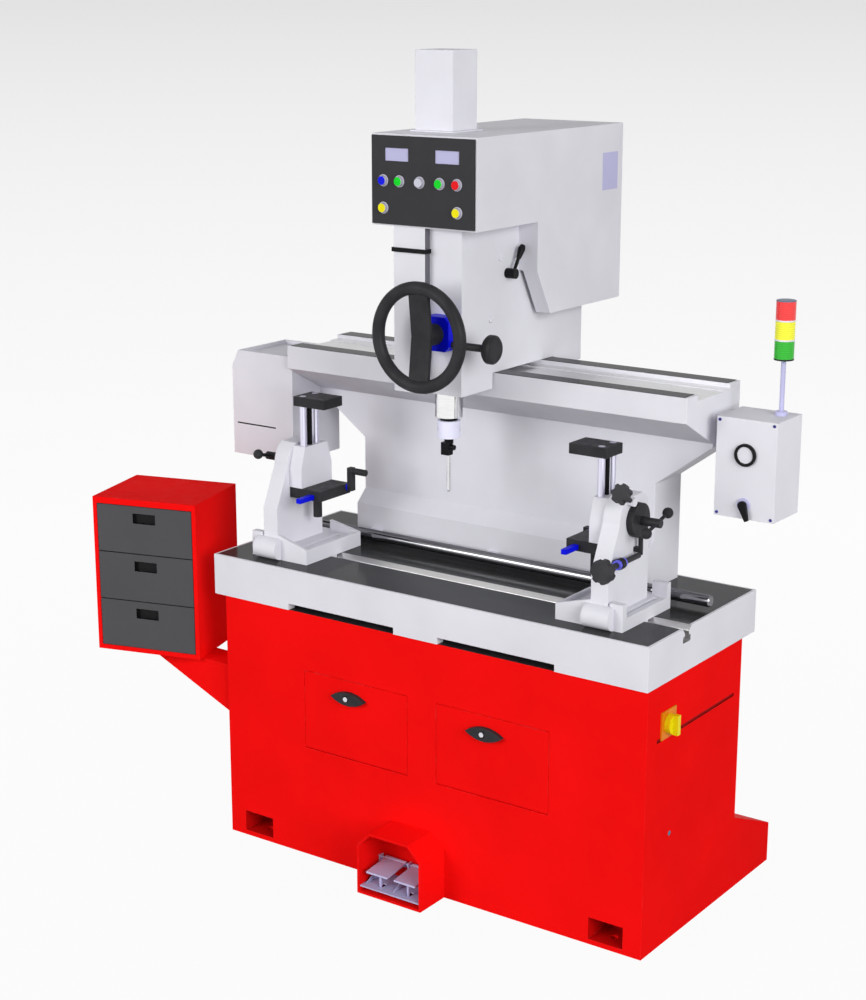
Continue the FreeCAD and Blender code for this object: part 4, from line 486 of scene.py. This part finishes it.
def coat(piece, finish, accents=()):
    """One finish all over, and other finishes where a test on a face's middle and normal holds."""
    for material in [finish] + [accent for accent, test in accents]:
        piece.data.materials.append(material)
    for face in piece.data.polygons:
        for index, (accent, test) in enumerate(accents, start=1):
            if test(face.center, face.normal):
                face.material_index = index


def dress(node, finish, edge, accents=(), parts=None, planes=()):
    """Rounded pieces that stand for a node; parts names a finish for each of its solids by their box."""
    places, solids = solids_of(node)
    groups = {}
    for faces in solids:
        key = parts(*extent(places, faces)) if parts else ("shell", finish, edge)
        groups.setdefault(key, []).append(faces)
    pieces = []
    for (part, part_finish, part_edge), members in groups.items():
        piece = piece_from(f"{node}_{part}", places, members, planes)
        coat(piece, part_finish, accents)
        if part_edge:
            rounded(piece, part_edge * MM)
        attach(piece, BODY_OF[node])
        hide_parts(node)
        pieces.append(piece)
    return pieces


def faces_up(level):
    """A test for upward faces at a level."""
    return lambda middle, normal: normal.z > STRAIGHT and abs(middle.z - level) < 0.5 * MM


def within(low, high):
    """A test for faces whose middle lies in a box."""
    return lambda middle, normal: all(a < place < b for a, place, b in zip(low, middle, high))


def finish_trim(piece, edge, finish, body):
    """A trim piece's rounding, finish, body and material slot."""
    piece.data.materials.append(finish)
    if edge:
        rounded(piece, edge * MM, segments=2)
    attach(piece, body)
    return piece


def lathe(name, spot, axis, profile, finish, body, edge=0.3, steps=48):
    """A turned trim piece; its profile is a list of distances along the axis and radii, in millimetres."""
    mesh = bmesh.new()
    turn = Vector((0, 0, 1)).rotation_difference(Vector(axis))
    rings = []
    for along, radius in profile:
        count = steps if radius else 1
        loop = []
        for step in range(count):
            spin = Quaternion((0, 0, 1), math.tau * step / steps)
            loop.append(mesh.verts.new(Vector(spot) + turn @ (spin @ Vector((radius, 0, along)) * MM)))
        rings.append(loop)
    for first, second in zip(rings, rings[1:]):
        for step in range(steps):
            after = (step + 1) % steps
            corners = [first[step % len(first)], first[after % len(first)],
                       second[after % len(second)], second[step % len(second)]]
            mesh.faces.new(list(dict.fromkeys(corners)))
    bmesh.ops.remove_doubles(mesh, verts=mesh.verts, dist=0.001 * MM)
    bmesh.ops.recalc_face_normals(mesh, faces=mesh.faces)
    return finish_trim(new_piece(name, mesh), edge, finish, body)


def slab(name, outline, depth, finish, body, edge=0.4):
    """A flat trim piece: an outline in space, made thick along a vector."""
    mesh = bmesh.new()
    near = [mesh.verts.new(Vector(corner)) for corner in outline]
    far = [mesh.verts.new(Vector(corner) + Vector(depth)) for corner in outline]
    mesh.faces.new(near)
    mesh.faces.new(far)
    for step in range(len(near)):
        after = (step + 1) % len(near)
        mesh.faces.new([near[step], near[after], far[after], far[step]])
    bmesh.ops.recalc_face_normals(mesh, faces=mesh.faces)
    return finish_trim(new_piece(name, mesh), edge, finish, body)


def ring(inner, outer, thick):
    """The profile of a flat ring."""
    return [(0, inner), (0, outer), (thick, outer), (thick, inner), (0, inner)]


def screw(radius, height):
    """The profile of a pan-head screw with a round recess."""
    recess = radius * 0.4
    return [(0, 0), (0, radius), (height * 0.6, radius), (height, radius * 0.7), (height, recess),
            (height * 0.4, recess), (height * 0.4, 0)]


def barrel(radius, height, keyway):
    """The profile of a lock barrel with a sunk centre."""
    sunk = height * 0.3
    return [(0, 0), (0, radius), (height, radius), (height, keyway), (sunk, keyway), (sunk, 0)]


FORWARD = (0, -1, 0)
UP = (0, 0, 1)
RIGHT = (1, 0, 0)


def joint_spot(name):
    """A point on a joint's axis."""
    return Vector([row for row in record["behaviour"]["joints"] if row["name"] == name][0]["pos_m"])


def mount_spot(name):
    """The place of one of the record's mounts."""
    return Vector([row for row in record["mounts"] if row["name"] == name][0]["pos_m"])


GROOVE_DEPTH = 5 * MM
GROOVE_DROP = 20 * MM
LATCH_LOCK_SHIFT = 4 * MM
SIDE_LOCK = (-0.122, 0.2915)
POCKET_GROW = 2 * MM


def pocket_boxes():
    """Boxes around the anchor pockets, grown to take in their walls."""
    grow = Vector((POCKET_GROW, POCKET_GROW, POCKET_GROW))
    rows = [row["box_m"] for row in record["physics"]["openings"] if row["name"].endswith("_pocket")]
    return [(Vector(low) - grow, Vector(high) + grow) for low, high in rows]


def base_looks():
    """Red base with painted shade in its groove, on its top and in its pockets; switch, bracket, doors,
    latches and side lock.
    """
    low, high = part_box("base_cabinet")
    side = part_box("table")[1].x
    groove = within((side - GROOVE_DEPTH - MM, low.y, high.z / 2),
                    (side - SKIN, high.y, high.z - GROOVE_DROP))

    def base_part(solid_low, solid_high):
        if solid_low.x > side - MM:
            return ("switch_plate", orange, 0.8)
        return ("shell", red, 2.0)

    # Painted shade: the groove's faces get a darker red, and the base's top, seen only in shade under the
    # table's apron, gets the black oxide finish
    accents = [(groove_painted_shade, groove), (dark, faces_up(high.z))]
    # Painted shade: the anchor pockets' inner walls get the darker red
    accents += [(pocket_painted_shade, within(*corners)) for corners in pocket_boxes()]
    dress("base_cabinet", red, 2.0, accents, base_part)
    dress("main_switch_knob", switch_yellow, 1.5)
    dress("cabinet_bracket", red, 2.0)
    lock = (side, *SIDE_LOCK)
    lathe("side_lock_rim", lock, RIGHT, ring(6.5, 9.5, 1.6), red, "frame")
    lathe("side_lock_barrel", lock, RIGHT, barrel(6.3, 1.2, 1.2), teal, "frame", edge=0.2)
    for name in SIDES:
        dress(f"door_{name}", red, 0.8)
        dress(f"latch_{name}", dark, 2.0)
        pivot = joint_spot(f"{name}_latch_turn")
        spot = (pivot.x - LATCH_LOCK_SHIFT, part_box(f"latch_{name}")[0].y, pivot.z)
        body = f"{name}_latch"
        lathe(f"latch_ring_{name}", spot, FORWARD, ring(6.8, 9.4, 1.4), black, body)
        lathe(f"latch_barrel_{name}", spot, FORWARD, barrel(6.6, 2.2, 1.0), pale, body)


TRAY_LIFT = 5 * MM
TRAY_TOP = 22 * MM
GUSSET_THICK = 2 * MM
GUSSET_GAP = 9 * MM
GUSSET_FRONT = 6 * MM
GUSSET_REAR = 24 * MM
GUSSET_RISE = 34 * MM


def pedal_looks():
    """Pedal hood, its pale tray, the pedals and a pale gusset beside each."""
    hood_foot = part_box("pedal_hood")[0].z

    def hood_part(low, high):
        if low.z > hood_foot + TRAY_LIFT:
            return ("tray", tray_sheet, 0.6)
        return ("shell", red, 0.8)

    dress("pedal_hood", red, 0.8, parts=hood_part)
    tray_top = hood_foot + TRAY_TOP
    for name in SIDES:
        dress(f"pedal_{name}", pedal_sheet, 0.8)
        low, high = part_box(f"pedal_{name}")
        side = low.x - GUSSET_GAP
        front = low.y + GUSSET_FRONT
        rear = high.y - GUSSET_REAR
        outline = [(side, front, tray_top), (side, rear, tray_top), (side, rear, low.z + GUSSET_RISE)]
        slab(f"pedal_gusset_{name}", outline, (GUSSET_THICK, 0, 0), tray_sheet, "frame")


CABINET_TURN = math.radians(16)
PULL_SINK = 11 * MM
PULL_WIDTH = 68 * MM
PULL_DROP = 5 * MM


def cabinet_looks():
    """Drawer cabinet: red case, charcoal drawers with darker pulls."""
    dress("tool_cabinet", red, 1.6)
    out = Vector((math.sin(CABINET_TURN), -math.cos(CABINET_TURN), 0))
    along = Vector((math.cos(CABINET_TURN), math.sin(CABINET_TURN), 0))
    for name in ("bottom", "middle", "top"):
        node = f"drawer_{name}"
        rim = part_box(node)[1].z
        corners = [vertex.co for vertex in frame["nodes"][node].data.vertices]
        face = max(corner.dot(out) for corner in corners)
        ends = [corner.dot(along) for corner in corners]
        middle_line = (min(ends) + max(ends)) / 2

        def in_pull(middle, normal, face=face, line=middle_line, top=rim):
            sunk = MM < face - middle.dot(out) < PULL_SINK + MM
            beside = abs(middle.dot(along) - line) < PULL_WIDTH / 2 + MM
            return sunk and beside and middle.z < top - PULL_DROP

        dress(node, drawer, 1.0, [(black, in_pull)])


TABLE_RIM = 7 * MM
SLOT_LIP = 23 * MM
SLOT_DEPTH = 38 * MM


def table_looks():
    """Table with a dark mirror-ground face inside a painted rim, a pale slot, and a chrome bar."""
    low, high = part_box("table")
    slot_y = mount_spot("t_slot").y
    planes = [((place, 0, 0), (1, 0, 0)) for place in (low.x + TABLE_RIM, high.x - TABLE_RIM)]
    planes += [((0, place, 0), (0, 1, 0)) for place in (low.y + TABLE_RIM, high.y - TABLE_RIM)]
    face = within((low.x + TABLE_RIM, low.y + TABLE_RIM, high.z - SKIN),
                  (high.x - TABLE_RIM, high.y - TABLE_RIM, high.z + MM))
    slot = within((low.x - MM, slot_y - SLOT_LIP, high.z - SLOT_DEPTH - MM),
                  (high.x + MM, slot_y + SLOT_LIP, high.z - SKIN))
    dress("table", grey, 1.2, [(table_metal, face), (slot_metal, slot)], planes=planes)
    dress("locating_bar", bar_metal, 0.3)


CHANNEL_DEPTH = 16 * MM
SHELF_DEPTH = 9 * MM
SLIT_SKIN = 0.3 * MM
SLIT_DEPTH = 3 * MM
SLIT_START = 5 * MM
SLIT_END = 30 * MM
SLIT_LOW = 80 * MM
SLIT_HIGH = 100 * MM


def bridge_looks():
    """Column, beam with its milled channel, dark ways and the service box."""
    dress("column", grey, 2.0)
    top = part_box("beam")[1].z

    def in_channel(middle, normal):
        return normal.z > STRAIGHT and top - CHANNEL_DEPTH < middle.z < top - SHELF_DEPTH

    dress("beam", grey, 1.5, [(channel_metal, in_channel)])
    dress("guide_ways", way_metal, 0.6)
    box_low, box_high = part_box("service_box")
    # Painted shade: the slit's sunk faces are painted black for the shade inside it
    slit = within((box_low.x + SLIT_START, box_low.y + SLIT_SKIN, box_low.z + SLIT_LOW),
                  (box_high.x - SLIT_END, box_low.y + SLIT_DEPTH, box_low.z + SLIT_HIGH))
    dress("service_box", grey, 1.5, [(black, slit)])


CONTROL_WIDTH = 160 * MM
SELECTOR_MOST = 40 * MM
GAUGE_MOST = 60 * MM
LID_MOST = 10 * MM
GAUGE_PROUD = 8 * MM
GAUGE_RISE_LEAST = 100 * MM
SCREW_INSET = 8 * MM
LENS_HEIGHT = 47 * MM
# Radii and heights of turned trim are in millimetres, as in every profile
LENS_RADIUS = 24
BAND_RADIUS = LENS_RADIUS + 0.3
BAND_HEIGHT = 4
TOWER_CAP = [(-1, 0), (-1, BAND_RADIUS), (0.6, BAND_RADIUS), (1.6, LENS_RADIUS - 1.5), (1.6, 0)]


def control_looks():
    """Control box with lid screws, ring gauge, selector and signal tower."""
    low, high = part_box("control_box")
    lid_front = low.y + GAUGE_PROUD
    centre_x = high.x - CONTROL_WIDTH / 2

    def control_part(solid_low, solid_high):
        width = solid_high.x - solid_low.x
        if width < SELECTOR_MOST:
            return ("selector_base", lavender, 1.2)
        if width < GAUGE_MOST:
            return ("gauge", black, 1.0)
        if solid_high.y - solid_low.y < LID_MOST:
            return ("lid", grey, 1.2)
        return ("case", grey, 1.2)

    def gauge_face(middle, normal):
        sunk = low.y + 2 * MM < middle.y < lid_front - MM
        central = abs(middle.x - centre_x) < 5 * MM and middle.z > low.z + GAUGE_RISE_LEAST
        return sunk and central and normal.y < -STRAIGHT

    dress("control_box", grey, 1.2, [(grey, gauge_face)], control_part)
    columns = {"left": high.x - CONTROL_WIDTH + SCREW_INSET, "right": high.x - SCREW_INSET}
    rows = {"low": low.z + SCREW_INSET, "high": high.z - SCREW_INSET}
    for flank, place_x in columns.items():
        for level, place_z in rows.items():
            spot = (place_x, lid_front, place_z)
            lathe(f"lid_screw_{flank}_{level}", spot, FORWARD, screw(4, 2.0), screw_blue, "frame",
                  edge=0.2, steps=24)
    dress("selector_lever", black, 1.2)

    tower_low, tower_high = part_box("signal_tower")
    stack = tower_high.z - 3 * LENS_HEIGHT
    centre = (tower_low + tower_high) / 2

    def tower_part(solid_low, solid_high):
        if solid_low.z < stack - MM:
            return ("pole", lavender, 0.8)
        step = round((solid_low.z - stack) / LENS_HEIGHT)
        return (("green", lens_green, 0.8), ("yellow", lens_yellow, 0.8), ("red", lens_red, 0.8))[step]

    dress("signal_tower", grey, 0.8, parts=tower_part)
    for step, name in enumerate(("green_cup", "lower_band", "upper_band")):
        spot = (centre.x, centre.y, stack + LENS_HEIGHT * step - BAND_HEIGHT / 2 * MM)
        finish = pale if step else dark
        lathe(f"tower_{name}", spot, UP, ring(LENS_RADIUS - 2, BAND_RADIUS, BAND_HEIGHT), finish,
              "frame")
    top = (centre.x, centre.y, tower_high.z)
    lathe("tower_cap", top, UP, TOWER_CAP, tower_cap, "frame")


HEAD_PINS = ((0.030, 1.638), (-0.013, 1.487))
SIDE_PLATE = ((0.430, 0.507), (1.778, 1.876))
SIDE_PLATE_THICK = 1.2 * MM
POST_PROUD = 5 * MM
POST_BACK = 22 * MM
ABOVE_ALL = 3.0
PIN = [(0, 0), (0, 7), (5, 7), (6, 6), (6, 3), (3, 3), (3, 0)]
BEZEL = [(0, 12.2), (0, 15.0), (1.4, 14.6), (2.2, 13.4), (2.2, 12.2), (0, 12.2)]
BUTTON_FINISH = {"blue": "blue", "green_left": "green", "grey": "grey", "green_right": "green",
                 "red": "red", "yellow_left": "yellow", "yellow_right": "yellow"}


def head_looks():
    """Head casting and cover with the side plate and pins, mast, panel and its ringed buttons."""
    spindle_x = joint_spot("spindle_spin").x
    cover_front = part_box("head_cover")[0].y
    # Painted shade: the post's right side face, in shade beside the casting, is painted dark grey
    post_side = within((spindle_x - MM, cover_front - POST_PROUD, 0),
                       (spindle_x + MM, cover_front + POST_BACK, ABOVE_ALL))
    dress("head_casting", grey, 2.5, [(post_painted_shade, post_side)])
    dress("head_cover", grey, 2.0)
    dress("mast_cover", grey, 1.2)
    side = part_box("head_casting")[1].x
    for step, (place_y, place_z) in enumerate(HEAD_PINS):
        lathe(f"head_pin_{step + 1}", (side, place_y, place_z), RIGHT, PIN, pale, "head")
    cover_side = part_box("head_cover")[1].x
    (near, far), (bottom, top) = SIDE_PLATE
    outline = [(cover_side, near, bottom), (cover_side, far, bottom),
               (cover_side, far, top), (cover_side, near, top)]
    slab("head_side_plate", outline, (SIDE_PLATE_THICK, 0, 0), lavender, "head")

    low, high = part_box("control_panel")
    sunk = within((low.x, low.y + MM, low.z), (high.x, high.y - MM, high.z))

    def in_window(middle, normal):
        return normal.y < -STRAIGHT and sunk(middle, normal)

    def cap_side(middle, normal):
        return abs(normal.y) < 0.5

    dress("control_panel", panel, 0.8, [(window, in_window)])
    for name, hue in BUTTON_FINISH.items():
        node = f"button_{name}"
        button_low, button_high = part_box(node)
        centre = (button_low + button_high) / 2
        dress(node, buttons[hue], 1.5, [(ring_grey, cap_side)])
        lathe(f"bezel_{name}", (centre.x, low.y, centre.z), FORWARD, BEZEL, ring_grey, "head")


COLLAR_DROP = 8 * MM


def spindle_looks():
    """Quill, spindle with its lavender collar, tool, and the drive inside the head."""
    dress("quill", quill_metal, 1.0)
    collar_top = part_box("quill")[0].z - COLLAR_DROP

    def on_collar(middle, normal):
        return middle.z < collar_top

    dress("spindle", tool_dark, 1.0, [(collar_pale, on_collar)])
    holder_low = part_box("cutter_holder")[0].z

    def holder_part(low, high):
        if low.z < holder_low + MM:
            return ("pilot", pilot_metal, 0.3)
        return ("body", tool_dark, 0.8)

    dress("cutter_holder", tool_dark, 0.8, parts=holder_part)
    dress("drive_sleeve", spindle_metal, 0.8)
    dress("spindle_motor", motor_iron, 1.5)


def feed_looks():
    """Handwheel, blue feed gearbox, fine-feed knob, lock lever and depth stop."""
    dress("handwheel", wheel_dark, 1.2)
    dress("feed_gearbox", blue, 1.5)
    dress("fine_feed_knob", dark, 1.0)
    dress("lock_lever", black, 0.8)
    dress("depth_stop", tool_dark, 0.6)


BORE_REACH = 6.2 * MM
BORE_EASE = 0.15 * MM
CASTING_LEAST = 150 * MM
CLAMP_PLATE_LEAST = 30 * MM
CLAMP_COLUMN_LEAST = 16 * MM
WASHER_GAP = 0.3 * MM


def eased_bore(piece, axle):
    """A bore along X opened a little, so that its facets clear those of the shaft that turns in it."""
    for vertex in piece.data.vertices:
        reach = Vector((0, vertex.co.y - axle.y, vertex.co.z - axle.z))
        if MM < reach.length < BORE_REACH:
            vertex.co += reach.normalized() * BORE_EASE


def fixture_looks(side):
    """One work fixture: grey castings, dark jaw and clamp, pale guide columns, blue lever and washer."""

    def base_part(low, high):
        if high.z - low.z > CASTING_LEAST:
            return ("casting", grey, 2.0)
        return ("drive", dark, 1.0)

    dress(f"fixture_base_{side}", grey, 2.0, parts=base_part)
    dress(f"tilt_block_{side}", grey, 1.5)
    dress(f"jaw_{side}", dark, 1.2)

    def clamp_part(low, high):
        width = high.x - low.x
        if width > CLAMP_PLATE_LEAST:
            return ("plate", dark, 1.5)
        if width > CLAMP_COLUMN_LEAST:
            return ("columns", chrome, 0.4)
        return ("screw", tool_dark, 0.4)

    dress(f"clamp_{side}", dark, 1.5, parts=clamp_part)
    dress(f"crank_{side}", dark, 1.2)
    dress(f"jaw_lever_{side}", blue, 1.0)
    for piece in dress(f"tilt_dial_{side}", dark, 1.2):
        eased_bore(piece, joint_spot(f"{side}_tilt"))
    jaw_low, jaw_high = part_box(f"jaw_{side}")
    inner, sense = (jaw_high.x, 1) if side == "left" else (jaw_low.x, -1)
    axle = joint_spot(f"{side}_crank_turn")
    spot = (inner + sense * WASHER_GAP, axle.y, axle.z)
    lathe(f"crank_washer_{side}", spot, (sense, 0, 0), ring(6.3, 11.5, 3.2), blue, f"{side}_crank_arm")


COLLAR_FRONT = -0.1765
COLLAR_REAR = -0.1515


def knob_looks():
    """The right fixture's two star knobs, and lavender collars on the lower one's rod."""
    for name in ("tilt_lock_knob", "tilt_drive_knob"):
        dress(name, knob_dark, 0.8)
    rod = joint_spot("tilt_drive_turn")
    for name, place_y in (("front", COLLAR_FRONT), ("rear", COLLAR_REAR)):
        lathe(f"drive_collar_{name}", (rod.x, place_y, rod.z), FORWARD, ring(7.2, 12, 8), collar_paint,
              "tilt_drive")


base_looks()
pedal_looks()
cabinet_looks()
table_looks()
bridge_looks()
control_looks()
head_looks()
spindle_looks()
feed_looks()
for flank in SIDES:
    fixture_looks(flank)
knob_looks()


# Studio: a pale floor that keeps a soft shadow, a world that is brighter near the horizon, three lamps
FLOOR_RADIUS = 400.0
FLOOR_FALL = 20.0
FAR_TONE = 0.765
NEAR_TONE = 0.295
EDGE_TONE = 0.013
SHADOW_SHARE = 0.05
PAPER = (0.38, 0.38, 0.38, 1.0)
ZENITH = 0.17
HORIZON = 0.62


def floor():
    """Pale floor: camera rays see a tone that greys with distance, and a share of the lit surface."""
    mesh = bmesh.new()
    bmesh.ops.create_circle(mesh, cap_ends=True, segments=96, radius=FLOOR_RADIUS)
    piece = new_piece("studio_floor", mesh)
    recipe = Recipe("studio_floor_paper")
    recipe.set(base_color=PAPER, roughness=0.9, specular_ior_level=0.1)
    length = recipe.node("ShaderNodeVectorMath", operation="LENGTH")
    recipe.link(recipe.place, length.inputs[0])
    away = recipe.maths("ADD", recipe.maths("DIVIDE", length.outputs["Value"], FLOOR_FALL), 1.0)
    near = recipe.maths("DIVIDE", NEAR_TONE, away)
    glow = recipe.node("ShaderNodeEmission")
    tone = recipe.maths("MINIMUM", recipe.maths("ADD", near, FAR_TONE - EDGE_TONE), 1.0)
    recipe.link(tone, glow.inputs["Color"])
    path = recipe.node("ShaderNodeLightPath")
    seen = path.outputs["Is Camera Ray"]
    for kind in ("Is Glossy Ray", "Is Transmission Ray"):
        seen = recipe.maths("MAXIMUM", seen, path.outputs[kind])
    lit = recipe.maths("DIVIDE", SHADOW_SHARE, recipe.maths("MULTIPLY", away, away))
    share = recipe.maths("MULTIPLY", seen, recipe.maths("SUBTRACT", 1.0, lit))
    blend = recipe.node("ShaderNodeMixShader")
    recipe.link(share, blend.inputs["Fac"])
    recipe.link(recipe.shader.outputs["BSDF"], blend.inputs[1])
    recipe.link(glow.outputs["Emission"], blend.inputs[2])
    recipe.link(blend.outputs["Shader"], recipe.tree.nodes["Material Output"].inputs["Surface"])
    piece.data.materials.append(recipe.material)


def world():
    """Soft surround: bright walls, a dimmer ceiling, and the far floor's tone behind the object."""
    surround = bpy.data.worlds.new("studio")
    bpy.context.scene.world = surround
    surround.use_nodes = True
    tree = surround.node_tree
    light = tree.nodes["Background"]
    where = tree.nodes.new("ShaderNodeTexCoord")
    split = tree.nodes.new("ShaderNodeSeparateXYZ")
    tree.links.new(where.outputs["Generated"], split.inputs["Vector"])
    height = tree.nodes.new("ShaderNodeMapRange")
    tree.links.new(split.outputs["Z"], height.inputs["Value"])
    for name, number in zip(("From Min", "From Max", "To Min", "To Max"), (0.0, 0.9, HORIZON, ZENITH)):
        height.inputs[name].default_value = number
    tree.links.new(height.outputs["Result"], light.inputs["Color"])
    behind = tree.nodes.new("ShaderNodeBackground")
    behind.inputs["Color"].default_value = (FAR_TONE, FAR_TONE, FAR_TONE, 1.0)
    path = tree.nodes.new("ShaderNodeLightPath")
    blend = tree.nodes.new("ShaderNodeMixShader")
    seen = path.outputs["Is Camera Ray"]
    for kind in ("Is Glossy Ray", "Is Transmission Ray"):
        either = tree.nodes.new("ShaderNodeMath")
        either.operation = "MAXIMUM"
        tree.links.new(seen, either.inputs[0])
        tree.links.new(path.outputs[kind], either.inputs[1])
        seen = either.outputs["Value"]
    tree.links.new(seen, blend.inputs["Fac"])
    tree.links.new(light.outputs["Background"], blend.inputs[1])
    tree.links.new(behind.outputs["Background"], blend.inputs[2])
    tree.links.new(blend.outputs["Shader"], tree.nodes["World Output"].inputs["Surface"])


def lamp(name, spot, target, width, watts):
    """A soft square lamp aimed at a point."""
    data = bpy.data.lights.new(name, "AREA")
    data.shape = "SQUARE"
    data.size = width
    data.energy = watts
    made = bpy.data.objects.new(name, data)
    bpy.context.collection.objects.link(made)
    made.location = spot
    made.rotation_mode = "QUATERNION"
    made.rotation_quaternion = (Vector(target) - Vector(spot)).to_track_quat("-Z", "Y")
    return made


CAMERA_SPOT = (2.723, -4.000, 2.279)
CAMERA_AZIMUTH = math.radians(35.41)
CAMERA_RISE = math.radians(14.74)
CAMERA_LENS = 69.19


def camera():
    """The photograph's viewpoint."""
    data = bpy.data.cameras.new("photo_view")
    data.lens = CAMERA_LENS
    data.sensor_width = 36.0
    made = bpy.data.objects.new("photo_view", data)
    bpy.context.collection.objects.link(made)
    back = Vector((math.sin(CAMERA_AZIMUTH) * math.cos(CAMERA_RISE),
                   -math.cos(CAMERA_AZIMUTH) * math.cos(CAMERA_RISE), math.sin(CAMERA_RISE)))
    made.location = CAMERA_SPOT
    made.rotation_mode = "QUATERNION"
    made.rotation_quaternion = (-back).to_track_quat("-Z", "Y")
    bpy.context.scene.camera = made


floor()
world()
MIDDLE = (-0.1, 0.0, 1.0)
lamp("front_left", (-3.2, -7.4, 3.5), MIDDLE, 4.0, 318)
lamp("front_right", (7.0, -3.6, 3.3), MIDDLE, 4.0, 402)
lamp("rear", (-1.5, 5.0, 2.6), MIDDLE, 3.0, 70).visible_glossy = False
camera()

scene = bpy.context.scene
scene.view_settings.view_transform = "Standard"
